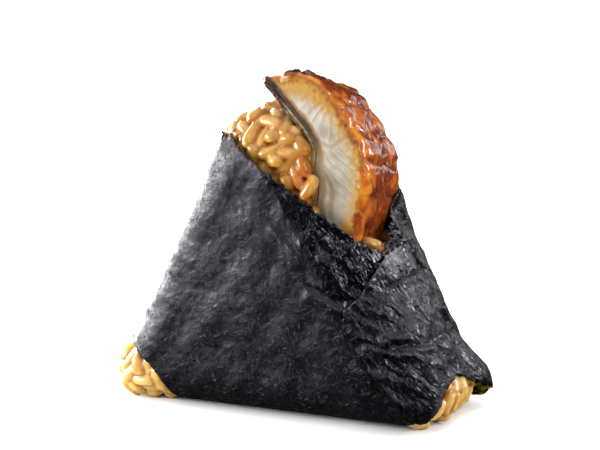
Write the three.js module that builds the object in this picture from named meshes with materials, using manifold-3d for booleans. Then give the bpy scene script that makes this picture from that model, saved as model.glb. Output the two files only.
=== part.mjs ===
// An onigiri: a rounded triangular block of seasoned rice, wrapped in one sheet of nori that leaves
// its top and its two base corners bare, with a thick slice of glazed grilled eel on its right shoulder.
// Millimetres, +Z up, the front towards -Y, the origin at the middle of the flat base it stands on.
import * as THREE from "three";
import { mergeVertices } from "three/addons/utils/BufferGeometryUtils.js";
import Module from "manifold-3d";

const wasm = await Module();
wasm.setup();

// ---------------------------------------------------------------- driving dimensions
const BASE_WIDTH = 97; // the triangle's base before its corners are rounded
const APEX_HEIGHT = 98; // its height before the top is rounded
const BASE_CORNER_R = 7;
const APEX_R = 18;
const THICKNESS = 38;
const EDGE_R = 10; // rounding between the two big faces and the flanks
const CROWN = 0.8; // how far the big faces swell in their middle

const SHEET = 0.6; // nori, as softened and doubled by wrapping
const RICE_GAP = 0.5; // nori to rice
const TOUCH_GAP = 0.3; // any other two pieces
const WRINKLE = 0.45; // height of the nori's soft waves
const FLARE = 1.4; // how far the nori stands out round the foot of the eel
const POCKET = 5.5; // how far its loose back right corner stands out

const GRAIN_LENGTH = 7.2;
const GRAIN_WIDTH = 3.3;
const GRAIN_SPACING = 3.7; // least distance between two grains' centres
const GRAIN_DEPTH = 1.5; // their centres, under the block's outer surface
const GRAIN_SCATTER = 0.4; // how far a centre may lie off that depth
const GRAIN_TILT = 0.45; // how far a grain may tip out of the surface, radians
const BARE_DEPTH = 2.6; // the core under the bare grains
const HEAP = 1.6; // how far the rice is heaped at the top left, beside the eel

const EEL_FRONT = -15.5; // y of the slice's front cut
const EEL_DEPTH = 23.5; // front cut to back cut
const EEL_NARROWS = 0.95; // the back section's width against the front one's
const EEL_LOWERS = 0.87; // and its height
const EEL_BULGE = 0.2; // how far its glazed back swells between the two cuts
const SKIN = 1.2; // the eel's skin

// ---------------------------------------------------------------- small helpers
const { lerp, mapLinear, smoothstep } = THREE.MathUtils;

/** 0 where v is at a, 1 where it is at b, and smooth between, whichever of the two is larger. */
const rising = (a, b, v) => (a < b ? smoothstep(v, a, b) : 1 - smoothstep(v, b, a));

const toVectors = (points) => points.map(([x, y]) => new THREE.Vector2(x, y));

/** A repeatable stream of numbers from 0 to 1. */
function seededRandom(seed) {
  let state = seed;
  return () => {
    state = (state + 0x6d2b79f5) | 0;
    let t = Math.imul(state ^ (state >>> 15), 1 | state);
    t = (t + Math.imul(t ^ (t >>> 7), 61 | t)) ^ t;
    return ((t ^ (t >>> 14)) >>> 0) / 4294967296;
  };
}

/** A closed three.js geometry as a manifold-3d solid. */
function toSolid(geometry) {
  const bare = new THREE.BufferGeometry();
  bare.setAttribute("position", geometry.getAttribute("position"));
  if (geometry.index) bare.setIndex(geometry.index);
  const merged = mergeVertices(bare, 1e-4);
  return new wasm.Manifold(
    new wasm.Mesh({
      numProp: 3,
      vertProperties: new Float32Array(merged.attributes.position.array),
      triVerts: new Uint32Array(merged.index.array),
    }),
  );
}

/** A manifold-3d solid as a three.js geometry. */
function toGeometry(solid) {
  const mesh = solid.getMesh();
  const geometry = new THREE.BufferGeometry();
  const corners = new Float32Array(mesh.numVert * 3);
  for (let i = 0; i < mesh.numVert; i++) {
    corners.set(mesh.vertProperties.subarray(i * mesh.numProp, i * mesh.numProp + 3), i * 3);
  }
  geometry.setAttribute("position", new THREE.BufferAttribute(corners, 3));
  geometry.setIndex(new THREE.BufferAttribute(new Uint32Array(mesh.triVerts), 1));
  geometry.computeVertexNormals();
  return geometry;
}

/** The solid bounded by loops of points, each as long as the last, closed by the given end triangles. */
function loopsToSolid(loops, capTriangles) {
  const points = loops.flat();
  const size = loops[0].length;
  const index = [];
  for (let row = 0; row + 1 < loops.length; row++) {
    for (let i = 0; i < size; i++) {
      const a = row * size + i;
      const b = row * size + ((i + 1) % size);
      index.push(a, b, a + size, b, b + size, a + size);
    }
  }
  index.push(...capTriangles(points, size, (loops.length - 1) * size));
  const geometry = new THREE.BufferGeometry().setFromPoints(points);
  geometry.setIndex(index);
  const solid = toSolid(geometry);
  if (solid.volume() > 0) return solid;
  geometry.setIndex(index.reverse());
  return toSolid(geometry);
}

/** End triangles that fan out from one middle point for each end loop. */
function fanCaps(points, size, lastStart) {
  const middle = (start) => {
    const sum = new THREE.Vector3();
    for (let i = 0; i < size; i++) sum.add(points[start + i]);
    points.push(sum.divideScalar(size));
    return points.length - 1;
  };
  const first = middle(0);
  const last = middle(lastStart);
  const triangles = [];
  for (let i = 0; i < size; i++) {
    const next = (i + 1) % size;
    triangles.push(first, next, i, last, lastStart + i, lastStart + next);
  }
  return triangles;
}

/** End triangles for loops that bend inwards, where a fan would cross the outline. */
function flatCaps(points, size, lastStart) {
  const flat = (start) => points.slice(start, start + size).map((p) => new THREE.Vector2(p.x, p.z));
  const first = THREE.ShapeUtils.triangulateShape(flat(0), []);
  const last = THREE.ShapeUtils.triangulateShape(flat(lastStart), []);
  const turned = THREE.ShapeUtils.isClockWise(flat(0));
  const side = (tri, start, flip) => (flip ? [tri[2], tri[1], tri[0]] : tri).map((i) => i + start);
  return [
    ...first.flatMap((tri) => side(tri, 0, !turned)),
    ...last.flatMap((tri) => side(tri, lastStart, turned)),
  ];
}

// ---------------------------------------------------------------- the block of rice, as a surface
const CORNERS = [
  { at: new THREE.Vector2(-BASE_WIDTH / 2, 0), r: BASE_CORNER_R },
  { at: new THREE.Vector2(BASE_WIDTH / 2, 0), r: BASE_CORNER_R },
  { at: new THREE.Vector2(0, APEX_HEIGHT), r: APEX_R },
];
const LEAST_R = 0.8; // of a face's corners where the edge's rounding is wider than the corner's

// Steps round a corner, along a side, from a big face's middle to its edge, round an edge, over a flank.
const FINE = { corner: 4, side: 10, face: 5, edge: 4, flank: 2 };
const COARSE = { corner: 3, side: 7, face: 3, edge: 3, flank: 2 };

const SIDES = CORNERS.map((corner, i) => {
  const along = CORNERS[(i + 1) % 3].at.clone().sub(corner.at).normalize();
  const normal = new THREE.Vector2(along.y, -along.x);
  return { normal, reach: normal.dot(corner.at) };
});

/** Points round the triangle, moved in by inset, each with its outward direction. */
function outline(inset, steps) {
  const loop = [];
  const arcs = CORNERS.map(({ r }, i) => {
    const before = SIDES[(i + 2) % 3];
    const after = SIDES[i];
    const radius = Math.max(r, inset + LEAST_R);
    const det = before.normal.x * after.normal.y - before.normal.y * after.normal.x;
    const a = before.reach - radius;
    const b = after.reach - radius;
    const centre = new THREE.Vector2(
      (a * after.normal.y - b * before.normal.y) / det,
      (before.normal.x * b - after.normal.x * a) / det,
    );
    const from = before.normal.angle();
    let to = after.normal.angle();
    if (to < from) to += 2 * Math.PI;
    return Array.from({ length: steps.corner + 1 }, (_, k) => {
      const angle = from + ((to - from) * k) / steps.corner;
      const out = new THREE.Vector2(Math.cos(angle), Math.sin(angle));
      return { at: centre.clone().addScaledVector(out, radius - inset), out };
    });
  });
  arcs.forEach((arc, i) => {
    loop.push(...arc);
    const start = arc[arc.length - 1];
    const end = arcs[(i + 1) % 3][0];
    for (let k = 1; k < steps.side; k++) {
      loop.push({ at: start.at.clone().lerp(end.at, k / steps.side), out: start.out.clone() });
    }
  });
  return loop;
}

const MIDDLE = new THREE.Vector2(0, APEX_HEIGHT / 3);

/** The block's surface as loops from the front face's middle to the back face's, moved out by offset. */
function blockLoops(offset, steps = FINE) {
  const loops = [];
  const straight = THICKNESS / 2 - EDGE_R;
  const reach = EDGE_R + offset;
  const faceLoop = (side, share) =>
    outline(EDGE_R, steps).map(({ at }) => {
      const flat = MIDDLE.clone().lerp(at, share);
      const crown = CROWN * (1 - share * share) ** 2;
      return {
        at: new THREE.Vector3(flat.x, side * (THICKNESS / 2 + offset + crown), flat.y),
        out: new THREE.Vector3(0, side, 0),
      };
    });
  const edgeLoop = (side, angle) =>
    outline(EDGE_R - reach * Math.sin(angle), steps).map(({ at, out }) => ({
      at: new THREE.Vector3(at.x, side * (straight + reach * Math.cos(angle)), at.y),
      out: new THREE.Vector3(
        out.x * Math.sin(angle),
        side * Math.cos(angle),
        out.y * Math.sin(angle),
      ),
    }));
  const flankLoop = (y) =>
    outline(-offset, steps).map(({ at, out }) => ({
      at: new THREE.Vector3(at.x, y, at.y),
      out: new THREE.Vector3(out.x, 0, out.y),
    }));
  for (let i = 1; i < steps.face; i++) loops.push(faceLoop(-1, i / steps.face));
  for (let i = 0; i <= steps.edge; i++) loops.push(edgeLoop(-1, ((Math.PI / 2) * i) / steps.edge));
  for (let i = 1; i < steps.flank; i++) loops.push(flankLoop(straight * ((2 * i) / steps.flank - 1)));
  for (let i = steps.edge; i >= 0; i--) loops.push(edgeLoop(1, ((Math.PI / 2) * i) / steps.edge));
  for (let i = steps.face - 1; i >= 1; i--) loops.push(faceLoop(1, i / steps.face));
  return loops;
}

/** The block as a solid, its points moved out by offset and then by shift(outer point, direction). */
function blockSolid(offset, shift, steps = FINE) {
  const outer = blockLoops(0, steps);
  const loops = blockLoops(offset, steps).map((loop, row) =>
    loop.map(({ at }, i) => at.clone().add(shift(outer[row][i].at, outer[row][i].out))),
  );
  for (const loop of loops) {
    for (const p of loop) p.z = Math.max(p.z, -offset);
  }
  return loopsToSolid(loops, fanCaps);
}

// ---------------------------------------------------------------- where the nori stops
const NECK_LEFT = new THREE.Vector2(-8, 68.5); // upper end of the front's slanting edge, x and z
const NECK_SLOPE = -0.727; // down to the right, to the point of the V
const BACK_LEFT_Z = 72; // the edge across the back
const BACK_RIGHT_Z = 57;
const NECK_TURN = [-10, 16]; // the y over which the edge rises from its front line to its back one

/** Height of the nori's upper edge over a point of the plan. */
function neckHeight(x, y) {
  const front = Math.min(NECK_LEFT.y, NECK_LEFT.y + NECK_SLOPE * (x - NECK_LEFT.x));
  const back = lerp(BACK_LEFT_Z, BACK_RIGHT_Z, rising(-16, 22, x));
  const ragged = 0.35 * Math.sin(1.9 * x + 0.8 * y) + 0.25 * Math.sin(3.7 * x - 1.3 * y);
  return lerp(front, back, rising(...NECK_TURN, y)) + ragged;
}

const OUTSIDE = 60; // farther out than anything
const BELOW = -4;

// The bare left corner, in front view: the nori stops to the right of and above this line.
const LEFT_BARE = toVectors([
  [-25, BELOW],
  [-29, 6.8],
  [-33, 11.2],
  [-37, 14.3],
  [-46, 19.5],
  [-OUTSIDE, 19.5],
]);

// The bare right corner, seen from the right (y and z): its point lies half way back on the flank.
const RIGHT_PEAK = new THREE.Vector2(-2, 11.8);
const RIGHT_REAR = new THREE.Vector2(15.5, 4.6);
const RIGHT_BARE = [
  RIGHT_PEAK,
  ...toVectors([
    [-8, 10.9],
    [-13, 9],
    [-15.6, 5.2],
    [-15.2, BELOW],
    [RIGHT_REAR.x, BELOW],
  ]),
  RIGHT_REAR,
];
const RIGHT_MIDDLE = new THREE.Vector2(0, 3);
const RIGHT_REACH = 6; // from there to the nearest edge
const RIGHT_BARE_FROM_X = 34;

/** A prism whose section is drawn in x and z, from y0 to y1. */
function frontPrism(section, y0, y1) {
  const geometry = new THREE.ExtrudeGeometry(new THREE.Shape(section), {
    depth: y1 - y0,
    bevelEnabled: false,
  });
  geometry.rotateX(Math.PI / 2);
  geometry.translate(0, y1, 0);
  return toSolid(geometry);
}

/** A prism whose section is drawn in y and z, from x0 to x1. */
function sidePrism(section, x0, x1) {
  const geometry = new THREE.ExtrudeGeometry(new THREE.Shape(section), {
    depth: x1 - x0,
    bevelEnabled: false,
  });
  geometry.rotateX(Math.PI / 2);
  geometry.rotateZ(Math.PI / 2);
  geometry.translate(x0, 0, 0);
  return toSolid(geometry);
}

/** Everything above the nori's upper edge, from inset above it. */
function neckCutter(inset) {
  const [xFrom, xTo, xSteps] = [-40, 50, 45];
  const [yFrom, yTo, ySteps] = [-32, 32, 16];
  const loops = [];
  for (let i = 0; i <= xSteps; i++) {
    const x = lerp(xFrom, xTo, i / xSteps);
    const ys = Array.from({ length: ySteps + 1 }, (_, j) => lerp(yFrom, yTo, j / ySteps));
    const edge = ys.map((y) => new THREE.Vector3(x, y, neckHeight(x, y) + inset));
    const top = ys.reverse().map((y) => new THREE.Vector3(x, y, APEX_HEIGHT + OUTSIDE));
    loops.push([...edge, ...top]);
  }
  return loopsToSolid(loops, fanCaps);
}

/** Everything that the nori leaves bare, its edges moved in by inset. */
function bareSpace(inset) {
  const leftCorner = [...LEFT_BARE, new THREE.Vector2(-OUTSIDE, BELOW)];
  const left = frontPrism(leftCorner, -OUTSIDE, OUTSIDE).translate([-inset, 0, -inset]);
  const rightCorner = RIGHT_BARE.map((p) => p.clone().lerp(RIGHT_MIDDLE, inset / RIGHT_REACH));
  const right = sidePrism(rightCorner, RIGHT_BARE_FROM_X + inset, OUTSIDE);
  return neckCutter(inset).add(left).add(right);
}

/** How far inside the bare places a point of the block's surface lies; negative under the nori. */
function bareness(p) {
  const neck = p.z - neckHeight(p.x, p.y);
  const after = Math.max(1, LEFT_BARE.findIndex((q) => p.x > q.x));
  const [a, b] = [LEFT_BARE[after - 1], LEFT_BARE[after]];
  const left = 0.75 * (mapLinear(p.x, a.x, b.x, a.y, b.y) - p.z);
  const roof = mapLinear(p.y, RIGHT_PEAK.x, RIGHT_REAR.x, RIGHT_PEAK.y, RIGHT_REAR.y);
  const right = Math.min(
    Math.min(roof, RIGHT_PEAK.y) - p.z,
    p.x - RIGHT_BARE_FROM_X,
    RIGHT_REAR.x - Math.abs(p.y),
  );
  return Math.max(neck, left, right);
}

// ---------------------------------------------------------------- nori
const POCKET_TIP = new THREE.Vector3(45, 17, 3);
const POCKET_WAY = new THREE.Vector3(0.72, 0.45, -0.2); // outwards, back and a little down

/** How the sheet departs from the block: soft waves, a flare round the eel and a loose back corner. */
function noriShift(p, out) {
  const free = rising(0.5, 9, p.z);
  const waves =
    Math.sin(0.33 * p.x + 0.21 * p.z + 0.4 * p.y) * Math.sin(0.27 * p.z - 0.19 * p.x + 0.9) +
    0.5 * Math.sin(0.62 * p.x - 0.47 * p.z + 0.5 * p.y);
  const wrinkle = WRINKLE * free * (0.35 + 0.4 * waves);
  const flare = FLARE * rising(40, 56, p.z) * rising(4, 20, p.x) * rising(-17, -4, p.y) * rising(21, 15, p.y);
  const pocket = POCKET * rising(17, 4, p.distanceTo(POCKET_TIP));
  const shift = out.clone().multiplyScalar(wrinkle);
  shift.x += flare;
  return shift.addScaledVector(POCKET_WAY, pocket);
}

// The end of the sheet, folded over the front from the right: its outline in front view, x and z.
const FLAP = toVectors([
  [27.4, 50],
  [27.8, 43],
  [27, 38.4],
  [25.2, 33.5],
  [22, 30],
  [21.8, 26],
  [25, 21],
  [33, 11],
  [37, 5.5],
  [41, 1],
  [OUTSIDE, 0.6],
  [OUTSIDE, 66],
  [24, 66],
]);
const FLAP_FADE = [2, 12]; // y on the flank between which the upper layer merges into the one below
const FLAP_ROOT = 0.35; // how far it is sunk into the layer below, to be one body with it

/** The sheet's second layer; on the flank it sinks into the first. */
function flapLayer() {
  const over = (p, out) => {
    const lift = lerp(SHEET, -SHEET / 2, rising(...FLAP_FADE, p.y));
    return noriShift(p, out).addScaledVector(out, lift);
  };
  const layer = blockSolid(0, over).subtract(blockSolid(-FLAP_ROOT, noriShift));
  return layer.intersect(frontPrism(FLAP, -THICKNESS, FLAP_FADE[1]));
}

function noriSolid() {
  const wrap = blockSolid(0, noriShift).subtract(blockSolid(-SHEET, noriShift));
  return largest(wrap.add(flapLayer()).subtract(bareSpace(0)).subtract(eelRoom()));
}

/** The largest body of a solid, without the scraps that a cut leaves. */
function largest(solid) {
  return solid.decompose().reduce((a, b) => (a.volume() > b.volume() ? a : b));
}

// ---------------------------------------------------------------- eel
// The front cut, x and z, clockwise from the tip of the skin: first the glazed back, then the foot.
const EEL_TIP = [-1, 82.8];
const EEL_HEEL = [15.4, 42.2];
const EEL_GLAZED = toVectors([
  EEL_TIP,
  [3.6, 84.9],
  [9, 85],
  [13.8, 82.4],
  [17.7, 78.4],
  [20.9, 73.2],
  [24, 68.2],
  [25.2, 62.5],
  [24.9, 56.2],
  [23.6, 50.4],
  [22.2, 46.2],
  [20.4, 43.2],
  [18, 41.8],
  EEL_HEEL,
]);
// And the skin side, from the foot back up to the tip.
const EEL_SKIN_LINE = toVectors([
  EEL_HEEL,
  [12, 47.5],
  [10.9, 53.4],
  [11.4, 58],
  [10.4, 62],
  [10.7, 66.5],
  [8.6, 70.8],
  [5, 74.8],
  [1.6, 78.6],
  EEL_TIP,
]);
const EEL_PIVOT = new THREE.Vector2(15, 47); // the sections shrink towards it
const EEL_HEART = new THREE.Vector2(8, 62); // the glazed back swells away from it
const EEL_SECTIONS = 6;
const BACK_STEPS = 23; // along the glazed back
const SKIN_STEPS = 16;
const GLAZE_RELIEF = 0.35; // height of the lumps in the glaze
const SWELL_IN = 3; // steps from each end of the back over which it starts to swell

/** How much smaller the slice is, a share of the way back through it: in width and in height. */
const eelSize = (share) => new THREE.Vector2(lerp(1, EEL_NARROWS, share), lerp(1, EEL_LOWERS, share));

/** The points of a curve through the given ones, moved sideways (to the right of travel) by distance. */
function besideCurve(points, steps, distance) {
  const curve = new THREE.SplineCurve(points);
  return Array.from({ length: steps + 1 }, (_, i) => {
    const along = curve.getTangent(i / steps);
    return curve.getPoint(i / steps).add(new THREE.Vector2(along.y, -along.x).multiplyScalar(distance));
  });
}

/** A section drawn at the front cut, carried back through the slice and made smaller as it goes.
 *  Its first points, as many as glazed, swell between the cuts and are lumpy. */
function eelSolid(section, glazed, grow = 0) {
  const loops = [];
  for (let row = 0; row <= EEL_SECTIONS; row++) {
    const share = row / EEL_SECTIONS;
    const size = eelSize(share);
    const y = EEL_FRONT - grow + (EEL_DEPTH + 2 * grow) * share;
    loops.push(
      section.map((p, i) => {
        const at = p.clone().sub(EEL_PIVOT).multiply(size).add(EEL_PIVOT);
        const lump = GLAZE_RELIEF * Math.sin(1.7 * i + 2.1 * row) * Math.sin(0.9 * row + 0.5 * i);
        const swell = Math.sin(Math.PI * share) * (EEL_BULGE + lump);
        const along = rising(0, SWELL_IN, i) * rising(glazed, glazed - SWELL_IN, i);
        at.addScaledVector(at.clone().sub(EEL_HEART).normalize(), swell * along);
        return new THREE.Vector3(at.x, y, at.y);
      }),
    );
  }
  return loopsToSolid(loops, flatCaps);
}

/** The flesh, from its glazed back to just short of the skin. */
function fleshSolid() {
  const back = besideCurve(EEL_GLAZED, BACK_STEPS, 0).slice(0, -1);
  const seam = besideCurve(EEL_SKIN_LINE, SKIN_STEPS, SKIN + TOUCH_GAP).slice(1, -1);
  return eelSolid([...back, ...seam], back.length);
}

/** The skin, a layer along the concave side. */
function skinSolid() {
  const outer = besideCurve(EEL_SKIN_LINE, SKIN_STEPS, 0);
  const inner = besideCurve(EEL_SKIN_LINE, SKIN_STEPS, SKIN).reverse();
  return eelSolid([...outer.slice(1, -1), ...inner.slice(1, -1)], 0);
}

/** The room that the whole slice takes, with a gap round it. */
function eelRoom() {
  const back = besideCurve(EEL_GLAZED, BACK_STEPS, -TOUCH_GAP - GLAZE_RELIEF).slice(0, -1);
  const belly = besideCurve(EEL_SKIN_LINE, SKIN_STEPS, -TOUCH_GAP).slice(0, -1);
  return eelSolid([...back, ...belly], back.length, TOUCH_GAP);
}

// ---------------------------------------------------------------- rice
/** One cooked grain, its length along x. */
function grainSolid() {
  const grain = new THREE.SphereGeometry(0.5, 5, 4);
  grain.rotateZ(Math.PI / 2);
  grain.scale(GRAIN_LENGTH, GRAIN_WIDTH, GRAIN_WIDTH);
  return toSolid(grain);
}

const SHOULDER = new THREE.Vector3(-15, 0, 69); // the middle of the heap beside the eel
const heaped = (p) => HEAP * rising(16, 4, p.distanceTo(SHOULDER));

const GRAIN_TRIES = 60000;
const GRAIN_MARGIN = 0.6; // least distance from a centre to the nori's edge

/** Places for the grains that show, spread over the bare parts of the block. */
function grainPlaces(isFree) {
  const random = seededRandom(7);
  const spread = (most) => (2 * random() - 1) * most;
  const loops = blockLoops(-GRAIN_DEPTH);
  const places = [];
  for (let tries = 0; tries < GRAIN_TRIES; tries++) {
    const row = Math.floor(random() * (loops.length - 1));
    const i = Math.floor(random() * loops[0].length);
    const next = (i + 1) % loops[0].length;
    const [u, v] = [random(), random()];
    const near = loops[row][i].at.clone().lerp(loops[row][next].at, u);
    const far = loops[row + 1][i].at.clone().lerp(loops[row + 1][next].at, u);
    const at = near.lerp(far, v);
    const out = loops[row][i].out.clone().lerp(loops[row + 1][next].out, v).normalize();
    const [turn, tilt, sink] = [spread(Math.PI / 2), spread(GRAIN_TILT), spread(GRAIN_SCATTER)];
    if (bareness(at) < GRAIN_MARGIN || at.z < GRAIN_WIDTH / 2) continue;
    if (places.some((q) => q.at.distanceTo(at) < GRAIN_SPACING) || !isFree(at)) continue;
    places.push({ at: at.addScaledVector(out, sink + heaped(at)), out, turn, tilt });
  }
  return places;
}

/** A grain turned to lie on the block at a place. */
function placedGrain(grain, { at, out, turn, tilt }) {
  const lie = new THREE.Quaternion().setFromUnitVectors(new THREE.Vector3(0, 0, 1), out);
  const spin = new THREE.Quaternion().setFromAxisAngle(new THREE.Vector3(0, 0, 1), turn);
  const lean = new THREE.Quaternion().setFromAxisAngle(new THREE.Vector3(0, 1, 0), tilt);
  const matrix = new THREE.Matrix4().compose(
    at,
    lie.multiply(spin).multiply(lean),
    new THREE.Vector3(1, 1, 1),
  );
  return grain.transform(matrix.elements);
}

/** Whether a point lies clear of the eel, by its front section carried back. */
function clearOfEel(p) {
  const share = (p.y - EEL_FRONT) / EEL_DEPTH;
  if (Math.abs(share - 0.5) > 0.65) return true;
  const at = new THREE.Vector2(p.x, p.z).sub(EEL_PIVOT).divide(eelSize(share)).add(EEL_PIVOT);
  const ring = [...besideCurve(EEL_GLAZED, BACK_STEPS, 0), ...besideCurve(EEL_SKIN_LINE, SKIN_STEPS, -1)];
  let inside = false;
  ring.forEach((a, i) => {
    const b = ring[(i + 1) % ring.length];
    if (a.y > at.y !== b.y > at.y && at.x < mapLinear(at.y, a.y, b.y, a.x, b.x)) inside = !inside;
  });
  return !inside;
}

function riceSolid() {
  const underNori = SHEET + RICE_GAP;
  const sunk = (p, out) => {
    const depth = (BARE_DEPTH - underNori - heaped(p)) * rising(-1.5, 2, bareness(p));
    return out.clone().multiplyScalar(-depth);
  };
  const core = blockSolid(-underNori, sunk, COARSE);
  const room = eelRoom();
  const front = room.translate([0, -BARE_DEPTH, 0]);
  const grain = grainSolid();
  const grains = grainPlaces(clearOfEel)
    .map((place) => placedGrain(grain, place))
    .filter((placed) => placed.boundingBox().min[2] > 0);
  const nearNori = blockSolid(GRAIN_WIDTH, noriShift)
    .subtract(blockSolid(-(SHEET + TOUCH_GAP), noriShift))
    .subtract(bareSpace(TOUCH_GAP));
  const heap = wasm.Manifold.union([core, ...grains]);
  return largest(heap.subtract(room.add(front)).subtract(nearNori));
}

// ---------------------------------------------------------------- the whole
const group = new THREE.Group();
group.name = "onigiri";

function addPiece(name, solid, color, roughness) {
  const material = new THREE.MeshStandardMaterial({ color, roughness, metalness: 0 });
  const mesh = new THREE.Mesh(toGeometry(solid), material);
  mesh.name = name;
  group.add(mesh);
}

addPiece("rice", riceSolid(), 0xd9a659, 0.35);
addPiece("nori", noriSolid(), 0x17191a, 0.45);
addPiece("eel", fleshSolid(), 0xb9702f, 0.3);
addPiece("eel_skin", skinSolid(), 0x4b463c, 0.35);

export default group;
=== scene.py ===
"""An onigiri with grilled eel: a slice of glazed eel on the shoulder of a block of seasoned rice,
wrapped in one sheet of nori. Sizes are in millimetres and become metres when a mesh is made."""
import math

import bpy
import numpy as np
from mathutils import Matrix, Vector, kdtree, noise


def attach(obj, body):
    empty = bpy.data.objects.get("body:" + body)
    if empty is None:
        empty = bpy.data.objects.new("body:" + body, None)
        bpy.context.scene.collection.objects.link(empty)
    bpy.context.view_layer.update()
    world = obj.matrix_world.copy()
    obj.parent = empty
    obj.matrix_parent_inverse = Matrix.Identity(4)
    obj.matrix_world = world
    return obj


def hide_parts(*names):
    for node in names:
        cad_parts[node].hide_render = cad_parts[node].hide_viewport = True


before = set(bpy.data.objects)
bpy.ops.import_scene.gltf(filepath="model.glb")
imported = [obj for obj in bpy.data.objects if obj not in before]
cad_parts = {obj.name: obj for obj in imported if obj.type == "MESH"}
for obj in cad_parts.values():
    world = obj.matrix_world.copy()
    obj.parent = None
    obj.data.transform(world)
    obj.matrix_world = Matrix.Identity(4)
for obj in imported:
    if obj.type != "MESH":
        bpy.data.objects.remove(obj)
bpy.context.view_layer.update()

# ---------------------------------------------------------------- the slice of eel
# Freshwater eel, steamed, brushed with sweet soy glaze and grilled, then cut across.
# The cut shows two blocks of white muscle; the back of the slice carries the browned glaze.
MM = 0.001
EEL_FRONT = -15.5  # y of the cut that shows
EEL_DEPTH = 23.5
EEL_TAPER = np.array([0.95, 0.87])  # the rear cut's width and height against the front one's
EEL_BULGE = 0.2  # swelling of the glazed back between the two cuts
EEL_PIVOT = np.array([15.0, 47.0])  # x and z that the sections shrink towards
EEL_STEPS = 190  # along the slice, from its tip to its heel
CUT_STEPS = 56  # across a cut face
DEPTH_STEPS = 62
CORNER_STEPS = 6
GLAZE_CORNER = 2.2  # rounding between a cut and the glazed back
SKIN_CORNER = 0.4
SKIN = 1.2
PIECE_GAP = 0.15  # between two pieces that touch

# The front cut, x and z, both from the tip at the top down to the heel in the rice.
GLAZED_BACK = [
    (-0.4, 83.4), (3.6, 84.9), (9, 85), (13.8, 82.4), (17.7, 78.4), (20.9, 73.2), (24, 68.2),
    (25.2, 62.5), (24.9, 56.2), (23.8, 50.4), (22.6, 46.2), (21, 42.8), (18.2, 41.4),
]
SKIN_LINE = [
    (-1.4, 82), (1.6, 78.6), (5, 74.8), (8.6, 70.8), (10.7, 66.5), (10.4, 62), (11.4, 58),
    (10.9, 53.4), (12, 47.5), (15, 42.6),
]


def lerp(a, b, share):
    """From a to b by a share."""
    return a + (b - a) * share


def rising(a, b, value):
    """0 where value is at a, 1 where it is at b, smooth between, whichever of the two is larger."""
    share = np.clip((value - a) / (b - a), 0, 1)
    return share * share * (3 - 2 * share)


def hump(value, middle, reach):
    """1 where value is at middle, 0 from reach away."""
    return np.clip(1 - ((value - middle) / reach) ** 2, 0, 1) ** 2


def spaced(dense, count):
    """Even steps along a line of many points."""
    along = np.append(0, np.cumsum(np.linalg.norm(np.diff(dense, axis=0), axis=1)))
    even = np.linspace(0, along[-1], count)
    return np.column_stack([np.interp(even, along, axis) for axis in dense.T])


def smooth_curve(points, count):
    """Even steps along a smooth curve through the points."""
    points = np.array(points, float)
    padded = np.vstack([points[:1], points, points[-1:]])
    t = np.linspace(0, 1, 16, endpoint=False)[:, None]
    pieces = []
    for a, b, c, d in zip(padded, padded[1:], padded[2:], padded[3:]):
        leave, arrive = (c - a) / 2, (d - b) / 2
        cubic = 2 * b - 2 * c + leave + arrive
        square = -3 * b + 3 * c - 2 * leave - arrive
        pieces.append(((cubic * t + square) * t + leave) * t + b)
    return spaced(np.vstack([*pieces, points[-1:]]), count)


def beside(curve, distance):
    """The curve moved to the right of its travel."""
    along = np.gradient(curve, axis=0)
    along /= np.linalg.norm(along, axis=1, keepdims=True)
    return curve + distance * np.column_stack([along[:, 1], -along[:, 0]])


def polygon_distance(points, polygon):
    """Distance of flat points from a closed outline, negative inside it."""
    ends = np.roll(polygon, -1, axis=0)
    best = np.full(len(points), 1e9)
    inside = np.zeros(len(points), bool)
    for a, b in zip(polygon, ends):
        way = b - a
        rel = points - a
        share = np.clip(rel @ way / max(way @ way, 1e-12), 0, 1)
        best = np.minimum(best, np.linalg.norm(rel - share[:, None] * way, axis=1))
        crosses = (a[1] > points[:, 1]) != (b[1] > points[:, 1])
        rise = way[1] if abs(way[1]) > 1e-12 else 1e-12
        inside ^= crosses & (rel[:, 0] < way[0] * rel[:, 1] / rise)
    return np.where(inside, -best, best)


def lumps(points, size, octaves=1, seed=0):
    """Smooth noise of about -1 to 1, with lumps of the given size, or sizes along x, y and z."""
    shift = Vector((7.3 * seed, 3.1 * seed, 5.7 * seed))
    scaled = points / np.array(size, float)
    return np.array([noise.fractal(Vector(p) + shift, 1, 2, octaves) for p in scaled])


def vertex_normals(points, triangles):
    """Outward directions at the points of a mesh."""
    a, b, c = (points[triangles[:, i]] for i in range(3))
    flat = np.cross(b - a, c - a)
    total = np.zeros_like(points)
    for corner in triangles.T:
        np.add.at(total, corner, flat)
    return total / np.maximum(np.linalg.norm(total, axis=1, keepdims=True), 1e-9)


def outward(points, triangles):
    """The triangles of a closed mesh, turned so that they face out."""
    a, b, c = (points[triangles[:, i]] for i in range(3))
    volume = np.sum(a * np.cross(b, c))
    return triangles if volume > 0 else triangles[:, ::-1]


def make_piece(name, points, triangles, material, **values):
    """A smooth mesh object at the origin, its points given in millimetres, with named values."""
    mesh = bpy.data.meshes.new(name)
    mesh.from_pydata((points * MM).tolist(), [], triangles.tolist())
    for key, numbers in values.items():
        mesh.attributes.new(key, "FLOAT", "POINT").data.foreach_set("value", numbers.astype(np.float32))
    mesh.shade_smooth()
    mesh.materials.append(material)
    piece = bpy.data.objects.new(name, mesh)
    bpy.context.scene.collection.objects.link(piece)
    return piece


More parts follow.
